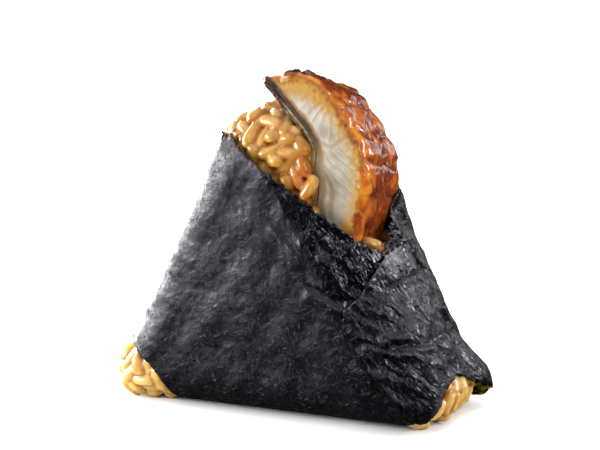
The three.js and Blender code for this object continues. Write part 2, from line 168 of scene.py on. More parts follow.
def round_ends(near, far):
    """Two sides of a section, carried on at both ends until they meet in a round end."""
    tips = []
    for first, second in ((0, 1), (-1, -2)):
        middle = (near[first] + far[first]) / 2
        half = np.linalg.norm(near[first] - far[first]) / 2
        way = middle - (near[second] + far[second]) / 2
        way /= np.linalg.norm(way)
        turns = np.linspace(0, math.pi / 2, 7)[1:, None]
        shrunk = np.maximum(np.cos(turns), 0.03)
        step = middle + way * half * np.sin(turns)
        tips.append([step + (side[first] - middle) * shrunk for side in (near, far)])
    start, end = tips
    return [np.vstack([start[i][::-1], side, end[i]]) for i, side in enumerate((near, far))]


def section_ring(cut_steps, depth_steps, near_r, far_r):
    """Places round a long section: shares of width and of depth, each with millimetres beside it."""
    turn = np.linspace(0, math.pi / 2, CORNER_STEPS + 2)[1:-1]
    cut = np.linspace(0, 1, cut_steps + 1)
    deep = np.linspace(0, 1, depth_steps + 1)
    rows = [(t, near_r - (near_r + far_r) * t, 0, 0) for t in cut]
    rows += [(1, far_r * (math.sin(a) - 1), 0, far_r * (1 - math.cos(a))) for a in turn]
    rows += [(1, 0, t, far_r * (1 - 2 * t)) for t in deep]
    rows += [(1, far_r * (math.cos(a) - 1), 1, far_r * (math.sin(a) - 1)) for a in turn]
    rows += [(t, near_r - (near_r + far_r) * t, 1, 0) for t in cut[::-1]]
    rows += [(0, near_r * (1 - math.sin(a)), 1, near_r * (math.cos(a) - 1)) for a in turn]
    rows += [(0, 0, t, near_r * (1 - 2 * t)) for t in deep[::-1]]
    rows += [(0, near_r * (1 - math.cos(a)), 0, near_r * (1 - math.sin(a))) for a in turn]
    return np.array(rows)


def swept_slice(near, far, ring):
    """A slice of the eel between two sides of its front section, carried back and made smaller.
    Gives its points, its triangles, and each point's share across and through the slice."""
    steps, size = len(near), len(ring)
    width = np.linalg.norm(far - near, axis=1)[:, None]
    ease = np.minimum(1, width / 4)
    across = ring[:, 0] + ring[:, 1] * ease / width
    y = EEL_FRONT + EEL_DEPTH * ring[:, 2] + ring[:, 3] * ease
    through = (y - EEL_FRONT) / EEL_DEPTH
    flat = near[:, None] + (far - near)[:, None] * across[..., None]
    flat = EEL_PIVOT + (flat - EEL_PIVOT) * lerp(1, EEL_TAPER, through[..., None])
    points = np.stack([flat[..., 0], y, flat[..., 1]], axis=-1).reshape(-1, 3)
    points = np.vstack([points, points[:size].mean(axis=0), points[-size:].mean(axis=0)])
    here = np.arange(size)
    after = (here + 1) % size
    base = (np.arange(steps - 1) * size)[:, None]
    quads = np.stack([base + here, base + after, base + after + size, base + here + size], axis=-1)
    quads = quads.reshape(-1, 4)
    last = (steps - 1) * size
    first_cap = np.column_stack([after, here, np.full(size, steps * size)])
    last_cap = np.column_stack([last + here, last + after, np.full(size, steps * size + 1)])
    triangles = np.vstack([quads[:, [0, 1, 2]], quads[:, [0, 2, 3]], first_cap, last_cap])
    across = np.append(across.ravel(), [0.5, 0.5])
    through = np.append(through.ravel(), [0.5, 0.5])
    return points, outward(points, triangles), across, through


back_line = smooth_curve(GLAZED_BACK, EEL_STEPS)
skin_line = smooth_curve(SKIN_LINE, EEL_STEPS)
eel_outline = np.vstack([back_line, skin_line[::-1]])


def eel_distance(points):
    """Distance from the whole slice, skin and all, negative inside it."""
    share = np.clip((points[:, 1] - EEL_FRONT) / EEL_DEPTH, 0, 1)
    flat = EEL_PIVOT + (points[:, [0, 2]] - EEL_PIVOT) / lerp(1, EEL_TAPER, share[:, None])
    section = polygon_distance(flat, eel_outline[::8])
    ends = np.abs(points[:, 1] - (EEL_FRONT + EEL_DEPTH / 2)) - EEL_DEPTH / 2
    both = np.hypot(np.maximum(section, 0), np.maximum(ends, 0))
    return np.where((section < 0) & (ends < 0), np.maximum(section, ends), both)


near_line, far_line = round_ends(beside(skin_line, -SKIN - PIECE_GAP), back_line)
eel_ring = section_ring(CUT_STEPS, DEPTH_STEPS, SKIN_CORNER, GLAZE_CORNER)
eel_points, eel_faces, eel_across, eel_through = swept_slice(near_line, far_line, eel_ring)
eel_out = vertex_normals(eel_points, eel_faces)

# Each point as it would lie on the front cut, and its distances there.
on_cut = rising(0.35, 0.8, np.abs(eel_out[:, 1]))
drawn = EEL_PIVOT + (eel_points[:, [0, 2]] - EEL_PIVOT) / lerp(1, EEL_TAPER, eel_through[:, None])
drawn3 = np.column_stack([drawn[:, 0], eel_points[:, 1], drawn[:, 1]])
eel_x, eel_z = drawn.T
to_glaze = np.min(np.linalg.norm(drawn[:, None] - back_line[None, ::5], axis=2), axis=1)
to_skin = np.min(np.linalg.norm(drawn[:, None] - skin_line[None, ::5], axis=2), axis=1) - SKIN

# Two blocks of muscle, parted by a thin wall that leaves the skin and runs to the glaze.
WALL = smooth_curve([(10, 70.5), (12.3, 69.4), (15.7, 68.2), (18.8, 69.8), (22.9, 71.9)], 40)
UPPER_FAN = np.array([17.5, 85.5])  # the upper block's flakes spread from here
FAN_STEP = 9.5  # degrees from one flake to the next
FLAKE_STEP = 1.8  # width of a flake of the lower block
LOWER_FROM = (12, 68)  # x and z that the lower flakes are counted from
LOWER_SLANT = (0.62, 0.68)  # they slant across x and z
HOOK = 1.5  # and are hooked next to the skin
HOOK_REACH = 1.4
FLAKE_HEIGHT = 0.06
CLEAR_OF_SKIN = (1.6, 3.4)  # the flakes come out over these distances
CLEAR_OF_GLAZE = (1.0, 4.5)
CLEAR_OF_WALL = (0.2, 1.2)
CLEAR_OF_HEEL = (50, 59)  # and over these heights
CLEAR_OF_TIP = (83, 76)
wall_distance = np.min(np.linalg.norm(drawn[:, None] - WALL[None], axis=2), axis=1)
upper = eel_z > np.interp(eel_x, WALL[:, 0], WALL[:, 1])

wobble = lumps(drawn3, 5, 2, 1)
fan = drawn - UPPER_FAN
upper_flake = np.degrees(np.arctan2(-fan[:, 0], -fan[:, 1])) / FAN_STEP + 0.3 * wobble
run = np.maximum(eel_x - LOWER_FROM[0], 0)
lower_across = LOWER_SLANT[0] * run + HOOK * (1 - np.exp(-run / HOOK_REACH))
lower_across += LOWER_SLANT[1] * (eel_z - LOWER_FROM[1])
lower_flake = lower_across / FLAKE_STEP + 0.3 * wobble
flake = np.where(upper, upper_flake, lower_flake)
flake_phase = flake - np.floor(flake)
flake_crest = flake_phase ** 1.5 * rising(1.0, 0.86, flake_phase)
flesh = on_cut * rising(*CLEAR_OF_HEEL, eel_z) * rising(*CLEAR_OF_TIP, eel_z)
flesh *= rising(*CLEAR_OF_SKIN, to_skin) * rising(*CLEAR_OF_GLAZE, to_glaze)
flesh *= rising(*CLEAR_OF_WALL, wall_distance)

# The glaze runs over the corner, unevenly, and lies in lobes and wrinkles on the back.
LOBE_ENDS = np.array([92, 84.6, 79.2, 71.6, 63.6, 55.5, 38])  # heights between the lobes
LOBE_HEIGHT = 0.8
COARSE_HEIGHT = 0.7
WRINKLE_HEIGHT = 0.1
SPILL = (0.5, 2.0)  # how far the glaze runs over on to the cut, at the top and at the foot
SPILL_Z = (66, 50)
GOLDEN_TIP = 2.8  # how much wider the golden rim of the cut is at the tip
GOLDEN_HEEL = 3.0
PITS = ((19.6, 73.3, 0.9), (21.9, 69.4, 1.0), (13.6, 82.6, 0.6))  # x, z and radius of pinholes
PIT_DEPTH = 0.6
WALL_DEPTH = 0.12  # the wall between the two blocks lies a little lower
TIP_HEIGHT = 1.0  # how far the charred lumps stand out
GRAININESS = 0.05  # the finest roughness, everywhere
TIP_LUMPS = ((-0.6, 82.2, 2.6), (5.0, 84.9, 2.8))  # x, z and reach of the charred lumps at the tip

spill = lerp(*SPILL, rising(*SPILL_Z, eel_z)) + 1.2 * lumps(drawn3, 3.2, 3, 2)
glaze = np.maximum(1 - on_cut, rising(0.7, -0.7, to_glaze - spill))
back_side = rising(0.6, 0.9, eel_across)
glaze *= np.maximum(back_side, on_cut)
golden_way = to_glaze - GOLDEN_TIP * rising(74, 83, eel_z) - GOLDEN_HEEL * rising(52, 46, eel_z)

coarse = lumps(eel_points, (6, 5, 5), 2, 4)
fine = lumps(eel_points, 1.8, 3, 5)
wrinkle = lumps(eel_points, (1.3, 1.3, 4.5), 2, 6)
lobe_place = eel_z + 2.2 * coarse + 0.12 * (eel_points[:, 1] + 4)
lobe_share = np.interp(-lobe_place, -LOBE_ENDS, np.arange(len(LOBE_ENDS)))
lobe_share -= np.floor(lobe_share)
lobe = np.sqrt(np.clip(4 * lobe_share * (1 - lobe_share), 0, 1))
pit = np.max([hump(np.hypot(eel_x - x, eel_z - z), 0, r) for x, z, r in PITS], axis=0) * on_cut
tip = np.max([hump(np.hypot(eel_x - x, eel_z - z), 0, r) for x, z, r in TIP_LUMPS], axis=0)
char = 0.9 * rising(0.1, 0.8, lumps(eel_points, 5, 2, 7) + 0.35 * (1 - lobe) - 0.1) * glaze
char = np.maximum(char * rising(42, 48, eel_z), rising(0.1, 0.5, tip))

swell = np.sin(math.pi * eel_through) * EEL_BULGE * back_side
crags = COARSE_HEIGHT * coarse + WRINKLE_HEIGHT * (fine + wrinkle) + LOBE_HEIGHT * (lobe - 0.7)
relief = swell + glaze * crags + flesh * FLAKE_HEIGHT * flake_crest
relief -= on_cut * WALL_DEPTH * hump(wall_distance, 0, 1.2) * rising(0.5, 2, to_glaze)
relief += tip * (TIP_HEIGHT + 0.6 * fine) - PIT_DEPTH * pit
relief += GRAININESS * lumps(eel_points, 0.9, 2, 8)
eel_points = eel_points + eel_out * relief[:, None]


def new_finish(name):
    """A new material with a principled shader: the material, its node tree and the shader."""
    material = bpy.data.materials.new(name)
    material.use_nodes = True
    tree = material.node_tree
    return material, tree, tree.nodes["Principled BSDF"]


def same_all_over(shader, levels):
    """Sets what doesn't vary over a piece."""
    for name, level in levels.items():
        shader.inputs[name].default_value = level


def attribute(tree, name):
    """The value that the mesh carries under this name."""
    node = tree.nodes.new("ShaderNodeAttribute")
    node.attribute_name = name
    return node.outputs["Fac"]


def pattern(tree, size, detail=3, rough=0.55, squash=(1, 1, 1), turn=(0, 0, 0), warp=0):
    """Noise on object coordinates with lumps of the given size in millimetres, 0 to 1."""
    place = tree.nodes.new("ShaderNodeTexCoord")
    mapping = tree.nodes.new("ShaderNodeMapping")
    mapping.vector_type = "TEXTURE"
    mapping.inputs["Scale"].default_value = [size * MM * s for s in squash]
    mapping.inputs["Rotation"].default_value = turn
    tree.links.new(place.outputs["Object"], mapping.inputs["Vector"])
    node = tree.nodes.new("ShaderNodeTexNoise")
    node.inputs["Scale"].default_value = 1
    node.inputs["Detail"].default_value = detail
    node.inputs["Roughness"].default_value = rough
    node.inputs["Distortion"].default_value = warp
    tree.links.new(mapping.outputs["Vector"], node.inputs["Vector"])
    return node.outputs["Fac"]


def ramp(tree, value, low, high, start=0.0, end=1.0):
    """The value carried smoothly from low..high to start..end."""
    node = tree.nodes.new("ShaderNodeMapRange")
    node.interpolation_type = "SMOOTHSTEP"
    for socket, number in zip(("From Min", "From Max", "To Min", "To Max"), (low, high, start, end)):
        node.inputs[socket].default_value = number
    tree.links.new(value, node.inputs["Value"])
    return node.outputs["Result"]


def combine(tree, how, a, b):
    """Arithmetic on two values, each a socket or a number."""
    node = tree.nodes.new("ShaderNodeMath")
    node.operation = how
    for socket, value in zip(node.inputs, (a, b)):
        if isinstance(value, (int, float)):
            socket.default_value = value
        else:
            tree.links.new(value, socket)
    return node.outputs[0]


def times(tree, a, b):
    """One value times another."""
    return combine(tree, "MULTIPLY", a, b)


def plus(tree, a, b):
    """The sum of two values."""
    return combine(tree, "ADD", a, b)


def blend(tree, share, a, b):
    """Colour b over colour a, by a share; each a socket or three linear numbers."""
    node = tree.nodes.new("ShaderNodeMix")
    node.data_type = "RGBA"
    for socket, value in zip((node.inputs[0], node.inputs[6], node.inputs[7]), (share, a, b)):
        if isinstance(value, (int, float)):
            socket.default_value = value
        elif isinstance(value, tuple):
            socket.default_value = (*value, 1)
        else:
            tree.links.new(value, socket)
    return node.outputs[2]


def relief_bump(tree, shader, height, depth):
    """Fine relief of the given depth in millimetres."""
    node = tree.nodes.new("ShaderNodeBump")
    node.inputs["Strength"].default_value = 1
    node.inputs["Distance"].default_value = depth * MM
    tree.links.new(height, node.inputs["Height"])
    tree.links.new(node.outputs["Normal"], shader.inputs["Normal"])


def srgb(red, green, blue):
    """A colour of the usual 0 to 255 scale as linear numbers."""
    shares = [level / 255 for level in (red, green, blue)]
    return tuple(((c + 0.055) / 1.055) ** 2.4 if c > 0.0404 else c / 12.92 for c in shares)


def eel_material():
    """White muscle that turns golden, then orange towards the glaze, and amber glaze with char; painted
    shade and painted highlights on the flakes, painted shade in the pinholes.
    """
    material, tree, shader = new_finish("grilled_eel")
    mottle = pattern(tree, 1.3, 4, 0.6)
    cloud = pattern(tree, 4.5, 2, 0.5)
    speckle = pattern(tree, 0.7, 3, 0.6)
    blotch = pattern(tree, 5, 3, 0.5, warp=0.6)
    uneven = ramp(tree, mottle, 0.25, 0.75, -1.1, 1.1)

    flesh = blend(tree, ramp(tree, cloud, 0.3, 0.7), srgb(138, 131, 117), srgb(166, 160, 149))
    phase = combine(tree, "FRACT", attribute(tree, "flake"), 0)
    # Painted shade on one side of each flake and a painted highlight along its edge, as light falls on
    # the flakes' steps; the shade also drives the bump.
    shaded = times(tree, ramp(tree, phase, 0.35, 0.98), attribute(tree, "flesh"))
    flake_highlight = times(tree, ramp(tree, phase, 0.16, 0.02), attribute(tree, "flesh"))
    flesh = blend(tree, times(tree, shaded, 0.5), flesh, srgb(130, 116, 92))
    flesh = blend(tree, times(tree, flake_highlight, 0.18), flesh, srgb(200, 194, 178))

    way = plus(tree, attribute(tree, "golden_way"), uneven)
    flesh = blend(tree, ramp(tree, way, 6.0, 1.6, 0, 0.92), flesh, srgb(158, 118, 34))
    edge_way = plus(tree, attribute(tree, "to_glaze"), uneven)
    flesh = blend(tree, ramp(tree, edge_way, 2.9, 0.7, 0, 0.95), flesh, srgb(132, 68, 6))
    flesh = blend(tree, attribute(tree, "pink"), flesh, srgb(134, 100, 64))
    # dark: the stain next to the skin, and painted shade in the pinholes
    flesh = blend(tree, attribute(tree, "dark"), flesh, srgb(56, 44, 36))

    deepness = plus(tree, attribute(tree, "inward"), ramp(tree, blotch, 0.3, 0.7, -0.5, 0.5))
    amber = blend(tree, ramp(tree, deepness, 0, 0.5), srgb(186, 116, 22), srgb(162, 82, 12))
    amber = blend(tree, ramp(tree, deepness, 0.5, 1.1), amber, srgb(106, 40, 10))
    amber = blend(tree, ramp(tree, speckle, 0.58, 0.78, 0, 0.45), amber, srgb(206, 140, 60))
    amber = blend(tree, attribute(tree, "gilt"), amber, srgb(190, 126, 48))
    glaze = blend(tree, attribute(tree, "char"), amber, srgb(66, 16, 6))
    colour = blend(tree, attribute(tree, "glaze"), flesh, glaze)
    tree.links.new(colour, shader.inputs["Base Color"])

    tree.links.new(ramp(tree, attribute(tree, "glaze"), 0, 1, 0.36, 0.26), shader.inputs["Roughness"])
    greasy = ramp(tree, edge_way, 2.8, 0.8, 0.05, 0.5)
    coated = combine(tree, "MAXIMUM", ramp(tree, attribute(tree, "glaze"), 0.3, 1, 0, 0.9), greasy)
    tree.links.new(coated, shader.inputs["Coat Weight"])
    same_all_over(shader, {
        "Subsurface Weight": 0.4, "Subsurface Radius": (1.0, 0.7, 0.4), "Subsurface Scale": 2 * MM,
        "Coat Roughness": 0.08, "Specular IOR Level": 0.2,
    })
    raised = times(tree, speckle, ramp(tree, way, 5, 0, 0.35, 1))
    relief_bump(tree, shader, plus(tree, times(tree, shaded, 0.5), raised), 0.22)
    return material


# Next to the skin the flesh is stained: dark, then pinkish above; a pinkish streak below.
stain_way = to_skin + 0.35 * lumps(drawn3, 2.5, 3, 9)
above = rising(62, 69, eel_z)
streak = hump(stain_way, lerp(3.8, 1.9, rising(56, 66, eel_z)), 1.0)
streak *= rising(47, 54, eel_z) * (1 - above)
wall_stain = rising(0.9, 0.1, wall_distance + 0.3 * lumps(drawn3, 1.6, 2, 10))
wall_stain *= rising(1.0, 3.0, to_glaze)
pink = np.maximum(rising(2.5, 1.7, stain_way) * lerp(0.75, 1, above), 0.7 * streak)
pink = np.maximum(pink, 0.55 * wall_stain) * on_cut
dark = rising(1.8, 1.0, stain_way) * lerp(0.12, 1, rising(64, 72, eel_z)) * on_cut
# The pinholes are darkened too: painted shade in the holes.
dark = np.maximum(dark, 0.6 * pit)

# The glaze is thicker and darker away from the cut and low on the back, and gilded at the foot.
inward = np.clip(0.15 + 0.8 * rising(0, 0.3, eel_through) + 0.45 * hump(eel_z, 52, 9), 0, 1.2)
gilt = 0.8 * rising(46.5, 43, eel_z + 1.5 * fine)
eel = make_piece(
    "eel_flesh", eel_points, eel_faces, eel_material(),
    flake=flake, flesh=flesh, golden_way=golden_way, to_glaze=to_glaze, glaze=glaze, char=char,
    inward=inward, pink=pink, dark=dark, gilt=gilt,
)
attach(eel, "root")
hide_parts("eel")

# ---------------------------------------------------------------- the eel's skin
# The eel's own skin, thin and olive-silver, left on the flat side of the slice when it was boned.
# It holds the muscle together and has shrunk a little in the heat, so its edge ripples.
SKIN_STEPS = 6  # across the skin's thickness
SKIN_EDGE = 0.35  # rounding of its edges
CURL_Z = 58.5  # here its front edge has come loose and curls up
CURL_REACH = 3.2
CURL_HEIGHT = 2.0
RIPPLE = 0.25  # height of its ripples
PUCKER = 0.12  # and of the finer ones on them

skin_near, skin_far = round_ends(skin_line[2:], beside(skin_line, -SKIN)[2:])
skin_ring = section_ring(SKIN_STEPS, DEPTH_STEPS, SKIN_EDGE, SKIN_EDGE)
skin_points, skin_faces, skin_across, skin_through = swept_slice(skin_near, skin_far, skin_ring)
skin_out = vertex_normals(skin_points, skin_faces)
outer_side = rising(0.5, 0.2, skin_across)
curl = hump(skin_points[:, 2], CURL_Z, CURL_REACH) * rising(0.3, 0.0, skin_through)
skin_relief = RIPPLE * lumps(skin_points, 3, 2, 11) + PUCKER * lumps(skin_points, 1.1, 2, 12)
skin_relief += curl * (CURL_HEIGHT + 0.9 * lumps(skin_points, 1.6, 2, 13))
skin_points = skin_points + skin_out * (outer_side * skin_relief)[:, None]


def skin_material():
    """Olive inside and dark outside, paler towards the rice and charred at the tip."""
    material, tree, shader = new_finish("eel_skin")
    mottle = ramp(tree, pattern(tree, 1.2, 4, 0.6), 0.35, 0.65)
    dark = blend(tree, mottle, srgb(44, 28, 18), srgb(92, 68, 44))
    olive = blend(tree, mottle, srgb(92, 84, 54), srgb(128, 118, 82))
    pale = blend(tree, mottle, srgb(112, 84, 42), srgb(142, 114, 66))
    colour = blend(tree, attribute(tree, "inner"), dark, olive)
    colour = blend(tree, attribute(tree, "pale"), colour, pale)
    colour = blend(tree, attribute(tree, "char"), colour, srgb(52, 18, 10))
    tree.links.new(colour, shader.inputs["Base Color"])
    same_all_over(shader, {
        "Subsurface Weight": 0.2, "Subsurface Radius": (1.0, 0.6, 0.3), "Subsurface Scale": 1 * MM,
        "Roughness": 0.25, "Coat Weight": 0.3, "Coat Roughness": 0.1, "Specular IOR Level": 0.3,
    })
    relief_bump(tree, shader, pattern(tree, 0.6, 3, 0.5), 0.2)
    return material


skin = make_piece(
    "eel_skin_layer", skin_points, skin_faces, skin_material(),
    inner=rising(0.4, 0.65, skin_across) * rising(79, 76, skin_points[:, 2]),
    pale=rising(70, 63, skin_points[:, 2]), char=rising(76, 79.5, skin_points[:, 2]),
)
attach(skin, "root")
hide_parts("eel_skin")

# ---------------------------------------------------------------- the block of rice
# Cooked short-grain rice seasoned with soy sauce, pressed in a rounded triangular mould.
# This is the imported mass: it is seen only deep between the grains that lie on it.
BASE_WIDTH = 97  # before the corners are rounded, and so is the height
APEX_HEIGHT = 98
BASE_CORNER_R = 7
APEX_R = 18
THICKNESS = 38
EDGE_R = 10  # rounding between the two big faces and the flanks
CROWN = 0.8  # swelling of the two big faces
LEAST_R = 0.8
STRAIGHT = THICKNESS / 2 - EDGE_R  # half the flat width of a flank
CORNERS = (
    (-BASE_WIDTH / 2, 0, BASE_CORNER_R), (BASE_WIDTH / 2, 0, BASE_CORNER_R), (0, APEX_HEIGHT, APEX_R),
)
MIDDLE = np.array([0, APEX_HEIGHT / 3])
CORE_CELL = 1.6  # size of the mass's triangles
CORE_UNDER_NORI = 2.2  # how deep the mass lies under the block's surface
CORE_TOP = 1.5  # the same at the bare top
CORE_CORNER = 3.3  # and at the bare corners
CORE_HEEL = 6  # it lies this much deeper round the eel's heel
CORE_BEHIND_CUT = 2.5  # and this far behind the slice's front cut
CORE_LUMPS = 0.7
CORE_LOWEST = 0.6
CUT_MARGIN = 1.2  # how far outside the cut's outline that still counts

SIDES = []  # each side's outward direction and its distance from the origin
for (x0, z0, _), (x1, z1, _) in zip(CORNERS, CORNERS[1:] + CORNERS[:1]):
    normal = np.array([z1 - z0, x0 - x1]) / math.hypot(x1 - x0, z1 - z0)
    SIDES.append((normal, float(normal @ (x0, z0))))


def corner_arc(i, inset):
    """Centre, radius, first angle and turn of the triangle's corner i."""
    before, after = SIDES[i - 1], SIDES[i]
    radius = max(CORNERS[i][2], inset + LEAST_R)
    centre = np.linalg.solve(np.array([before[0], after[0]]), [before[1] - radius, after[1] - radius])
    start = math.atan2(before[0][1], before[0][0])
    turn = (math.atan2(after[0][1], after[0][0]) - start) % (2 * math.pi)
    return centre, radius, start, turn


def outline(inset, step):
    """Even steps round the triangle, moved in by inset: x, z, and the outward direction's x and z."""
    knots = []
    for i in range(3):
        centre, radius, start, turn = corner_arc(i, inset)
        for share in np.linspace(0, 1, 25):
            way = np.array([math.cos(start + turn * share), math.sin(start + turn * share)])
            knots.append([*(centre + (radius - inset) * way), *way])
    knots = np.array(knots + knots[:1])
    along = np.append(0, np.cumsum(np.linalg.norm(np.diff(knots[:, :2], axis=0), axis=1)))
    along += np.arange(len(along)) * 1e-9
    even = np.linspace(0, along[-1], max(8, round(along[-1] / step)) + 1)[:-1]
    return np.column_stack([np.interp(even, along, axis) for axis in knots.T])


def block_rings(cell):
    """The block's surface as rings from the middle of its front face to the middle of its back one.
    Each row is a point and its outward direction."""
    front = []
    face_steps = round(33 / cell)
    for share in np.arange(1, face_steps) / face_steps:
        loop = outline(EDGE_R, cell / share)
        flat = MIDDLE + (loop[:, :2] - MIDDLE) * share
        y = np.full(len(loop), -THICKNESS / 2 - CROWN * (1 - share * share) ** 2)
        tilt = np.zeros_like(y)
        front.append(np.column_stack([flat[:, 0], y, flat[:, 1], tilt, tilt - 1, tilt]))
    edge_steps = round(EDGE_R * math.pi / 2 / cell)
    for angle in np.linspace(0, math.pi / 2, edge_steps + 1):
        sine, cosine = math.sin(angle), math.cos(angle)
        loop = outline(EDGE_R * (1 - sine), cell)
        y = np.full(len(loop), -STRAIGHT - EDGE_R * cosine)
        front.append(np.column_stack([
            loop[:, 0], y, loop[:, 1], loop[:, 2] * sine, np.full(len(loop), -cosine), loop[:, 3] * sine,
        ]))
    flank = []
    flank_steps = round(2 * STRAIGHT / cell)
    for share in np.arange(1, flank_steps) / flank_steps:
        ring = front[-1].copy()
        ring[:, 1] = STRAIGHT * (2 * share - 1)
        flank.append(ring)
    mirror = np.array([1, -1, 1, 1, -1, 1])
    return front + flank + [ring * mirror for ring in front[::-1]]


def stitched(rings):
    """Rings of any lengths joined into one closed mesh: points, outward directions and triangles."""
    triangles = []
    starts = np.cumsum([0] + [len(ring) for ring in rings])
    for ring, after, base, top in zip(rings, rings[1:], starts, starts[1:]):
        n, m = len(ring), len(after)
        moves = np.concatenate([(np.arange(n) + 0.5) / n, (np.arange(m) + 0.5) / m])
        order = np.argsort(moves, kind="stable")
        on_first = order < n
        i = np.cumsum(on_first) - on_first
        j = np.cumsum(~on_first) - ~on_first
        third = np.where(on_first, base + (i + 1) % n, top + (j + 1) % m)
        triangles.append(np.column_stack([base + i % n, third, top + j % m]))
    rows = np.vstack(rings)
    for ring, base, flip in ((rings[0], 0, True), (rings[-1], starts[-2], False)):
        n = len(ring)
        centre = np.full(n, len(rows))
        rows = np.vstack([rows, ring.mean(axis=0)])
        fan = np.column_stack([base + np.arange(n), base + (np.arange(n) + 1) % n, centre])
        triangles.append(fan[:, ::-1] if flip else fan)
    points, out = rows[:, :3], rows[:, 3:]
    out = out / np.linalg.norm(out, axis=1, keepdims=True)
    return points, out, outward(points, np.vstack(triangles))


# Where the nori leaves the rice bare: the top, and both base corners.
NECK_LEFT = (-8, 68.5)  # upper end of the nori's slanting front edge, x and z
NECK_SLOPE = -0.727
BACK_LEFT_Z = 72
BACK_RIGHT_Z = 57
NECK_TURN = (-10, 16)  # the y over which the edge rises from its front line to its back one
LEFT_BARE = np.array([  # x and z of the nori's edge at the left corner
    (-60, 19.5), (-46, 19.5), (-37, 14.3), (-33, 11.2), (-29, 6.8), (-25, -4),
])
RIGHT_ROOF = np.array([  # y and z of its edge round the right corner
    (-60, 4.2), (-15.6, 5.2), (-13, 9), (-8, 10.9), (-2, 11.8), (15.5, 4.6),
])
RAGGED_LONG = 0.35  # height of the long and the short waves in the upper edge
RAGGED_SHORT = 0.25
RIGHT_BARE_X = 34
RIGHT_BACK_Y = 15.5


def neck_height(x, y):
    """Height of the nori's upper edge over a point of the plan."""
    front = np.minimum(NECK_LEFT[1], NECK_LEFT[1] + NECK_SLOPE * (x - NECK_LEFT[0]))
    back = lerp(BACK_LEFT_Z, BACK_RIGHT_Z, rising(-16, 22, x))
    ragged = RAGGED_LONG * np.sin(1.9 * x + 0.8 * y) + RAGGED_SHORT * np.sin(3.7 * x - 1.3 * y)
    return lerp(front, back, rising(*NECK_TURN, y)) + ragged


def bareness(points):
    """How far inside the bare places a point of the block lies; negative under the nori."""
    x, y, z = points.T
    neck = z - neck_height(x, y)
    left = 0.75 * (np.interp(x, *LEFT_BARE.T) - z)
    roof = np.interp(y, *RIGHT_ROOF.T)
    right = np.minimum(np.minimum(roof - z, x - RIGHT_BARE_X), RIGHT_BACK_Y - np.abs(y))
    return np.maximum(np.maximum(neck, left), right)


def in_front_of_cut(points, behind):
    """Whether a point lies in the slice's outline, and less than so far behind its front cut."""
    near_outline = polygon_distance(points[:, [0, 2]], eel_outline[::6]) < CUT_MARGIN
    return near_outline & (points[:, 1] < EEL_FRONT + behind)


def rice_material(name, deep):
    """Translucent rice, from pale to warm by its tint, and a darker colour down between the grains:
    painted shade.
    """
    material, tree, shader = new_finish(name)
    cloud = ramp(tree, pattern(tree, 2.2, 3, 0.5), 0.3, 0.7)
    pale = blend(tree, cloud, srgb(186, 150, 84), srgb(206, 176, 116))
    warm = blend(tree, cloud, srgb(150, 107, 37), srgb(172, 133, 62))
    colour = blend(tree, attribute(tree, "tint"), pale, warm)
    # Painted shade: the darker colour goes where the mesh says the point lies deep down or in a crevice.
    colour = blend(tree, attribute(tree, "deep"), colour, srgb(*deep))
    tree.links.new(colour, shader.inputs["Base Color"])
    same_all_over(shader, {
        "Subsurface Weight": 1, "Subsurface Radius": (1.0, 0.6, 0.3), "Subsurface Scale": 2.4 * MM,
        "Roughness": 0.28, "Coat Weight": 0.35, "Coat Roughness": 0.1,
    })
    relief_bump(tree, shader, pattern(tree, 1.4, 3, 0.5), 0.16)
    return material


core_points, core_out, core_faces = stitched(block_rings(CORE_CELL))
core_bare = lerp(CORE_CORNER, CORE_TOP, rising(20, 45, core_points[:, 2]))
core_depth = lerp(CORE_UNDER_NORI, core_bare, rising(-2, 3, bareness(core_points)))
core_depth += CORE_HEEL * rising(42, 46, core_points[:, 2]) * rising(12, 18, core_points[:, 0])
core_depth += CORE_LUMPS * lumps(core_points, 5, 2, 21)
core_points = core_points - core_out * core_depth[:, None]
core_points[in_front_of_cut(core_points, CORE_BEHIND_CUT), 1] = EEL_FRONT + CORE_BEHIND_CUT
core_points[:, 2] = np.maximum(core_points[:, 2], CORE_LOWEST)
# The mass is coloured all over with that painted shade colour.
core = make_piece(
    "rice_core", core_points, core_faces, rice_material("rice_deep", (190, 118, 44)),
    tint=np.ones(len(core_points)), deep=np.ones(len(core_points)),
)
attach(core, "root")
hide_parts("rice")

# ---------------------------------------------------------------- the grains of rice
# The grains that show at the three bare corners. Each is a plump cooked grain, glossy with sauce.
# They have been pressed against each other, the nori and the eel, and stick where they touch.
GRAIN_R = 1.42  # a grain settles as three balls of this radius in a row
GRAIN_HALF = 1.25  # from a grain's middle to the centres of its end balls
GRAIN_SPACING = 2.6
LAYER_SPACING = 0.85  # share of that between grains of two layers
GRAIN_LAYERS = (1.4, 3.9)  # depths of the layers' middles
SCATTER_CELL = 2.5  # size of the triangles over which they are scattered
LAYER_PICKS = 9000  # places that are tried for each layer
GRAIN_UNDER = -3.0  # how far in under the nori there are still grains
GRAIN_CLEAR = 1.4  # a grain's middle starts this far from the eel
GRAIN_LOWEST = 1.6  # and this high
GRAIN_LEAN = 0.9  # how much it may point out of its layer
GRAIN_PROUD = (-0.9, 0.6)  # how far single grains lie in or stand out
SETTLE_STEPS = 90
PUSH_APART = 0.3  # the share of an overlap that a step takes away
PUSH_IN = 0.8  # the same for what stands out of the block
PUSH_OFF_EEL = 0.6  # and for what is in the eel
CREEP = 0.03  # a step also lets the bare grains swell out by this
HEAP_CREEP = 0.05  # and more where they are heaped
GRAIN_TURN = 0.8  # the share of a push that turns a grain
CROWDED = 0.88  # a grain is left out if it is nearer than this share of two radii to a kept one
CROWDED_CORNER = 1.04  # the same in front at the right corner, where they lie looser
PRESSED = 0.3  # how far a grain may be pressed out of its round
COVERED = 1.2  # how much lower grains lie under the nori
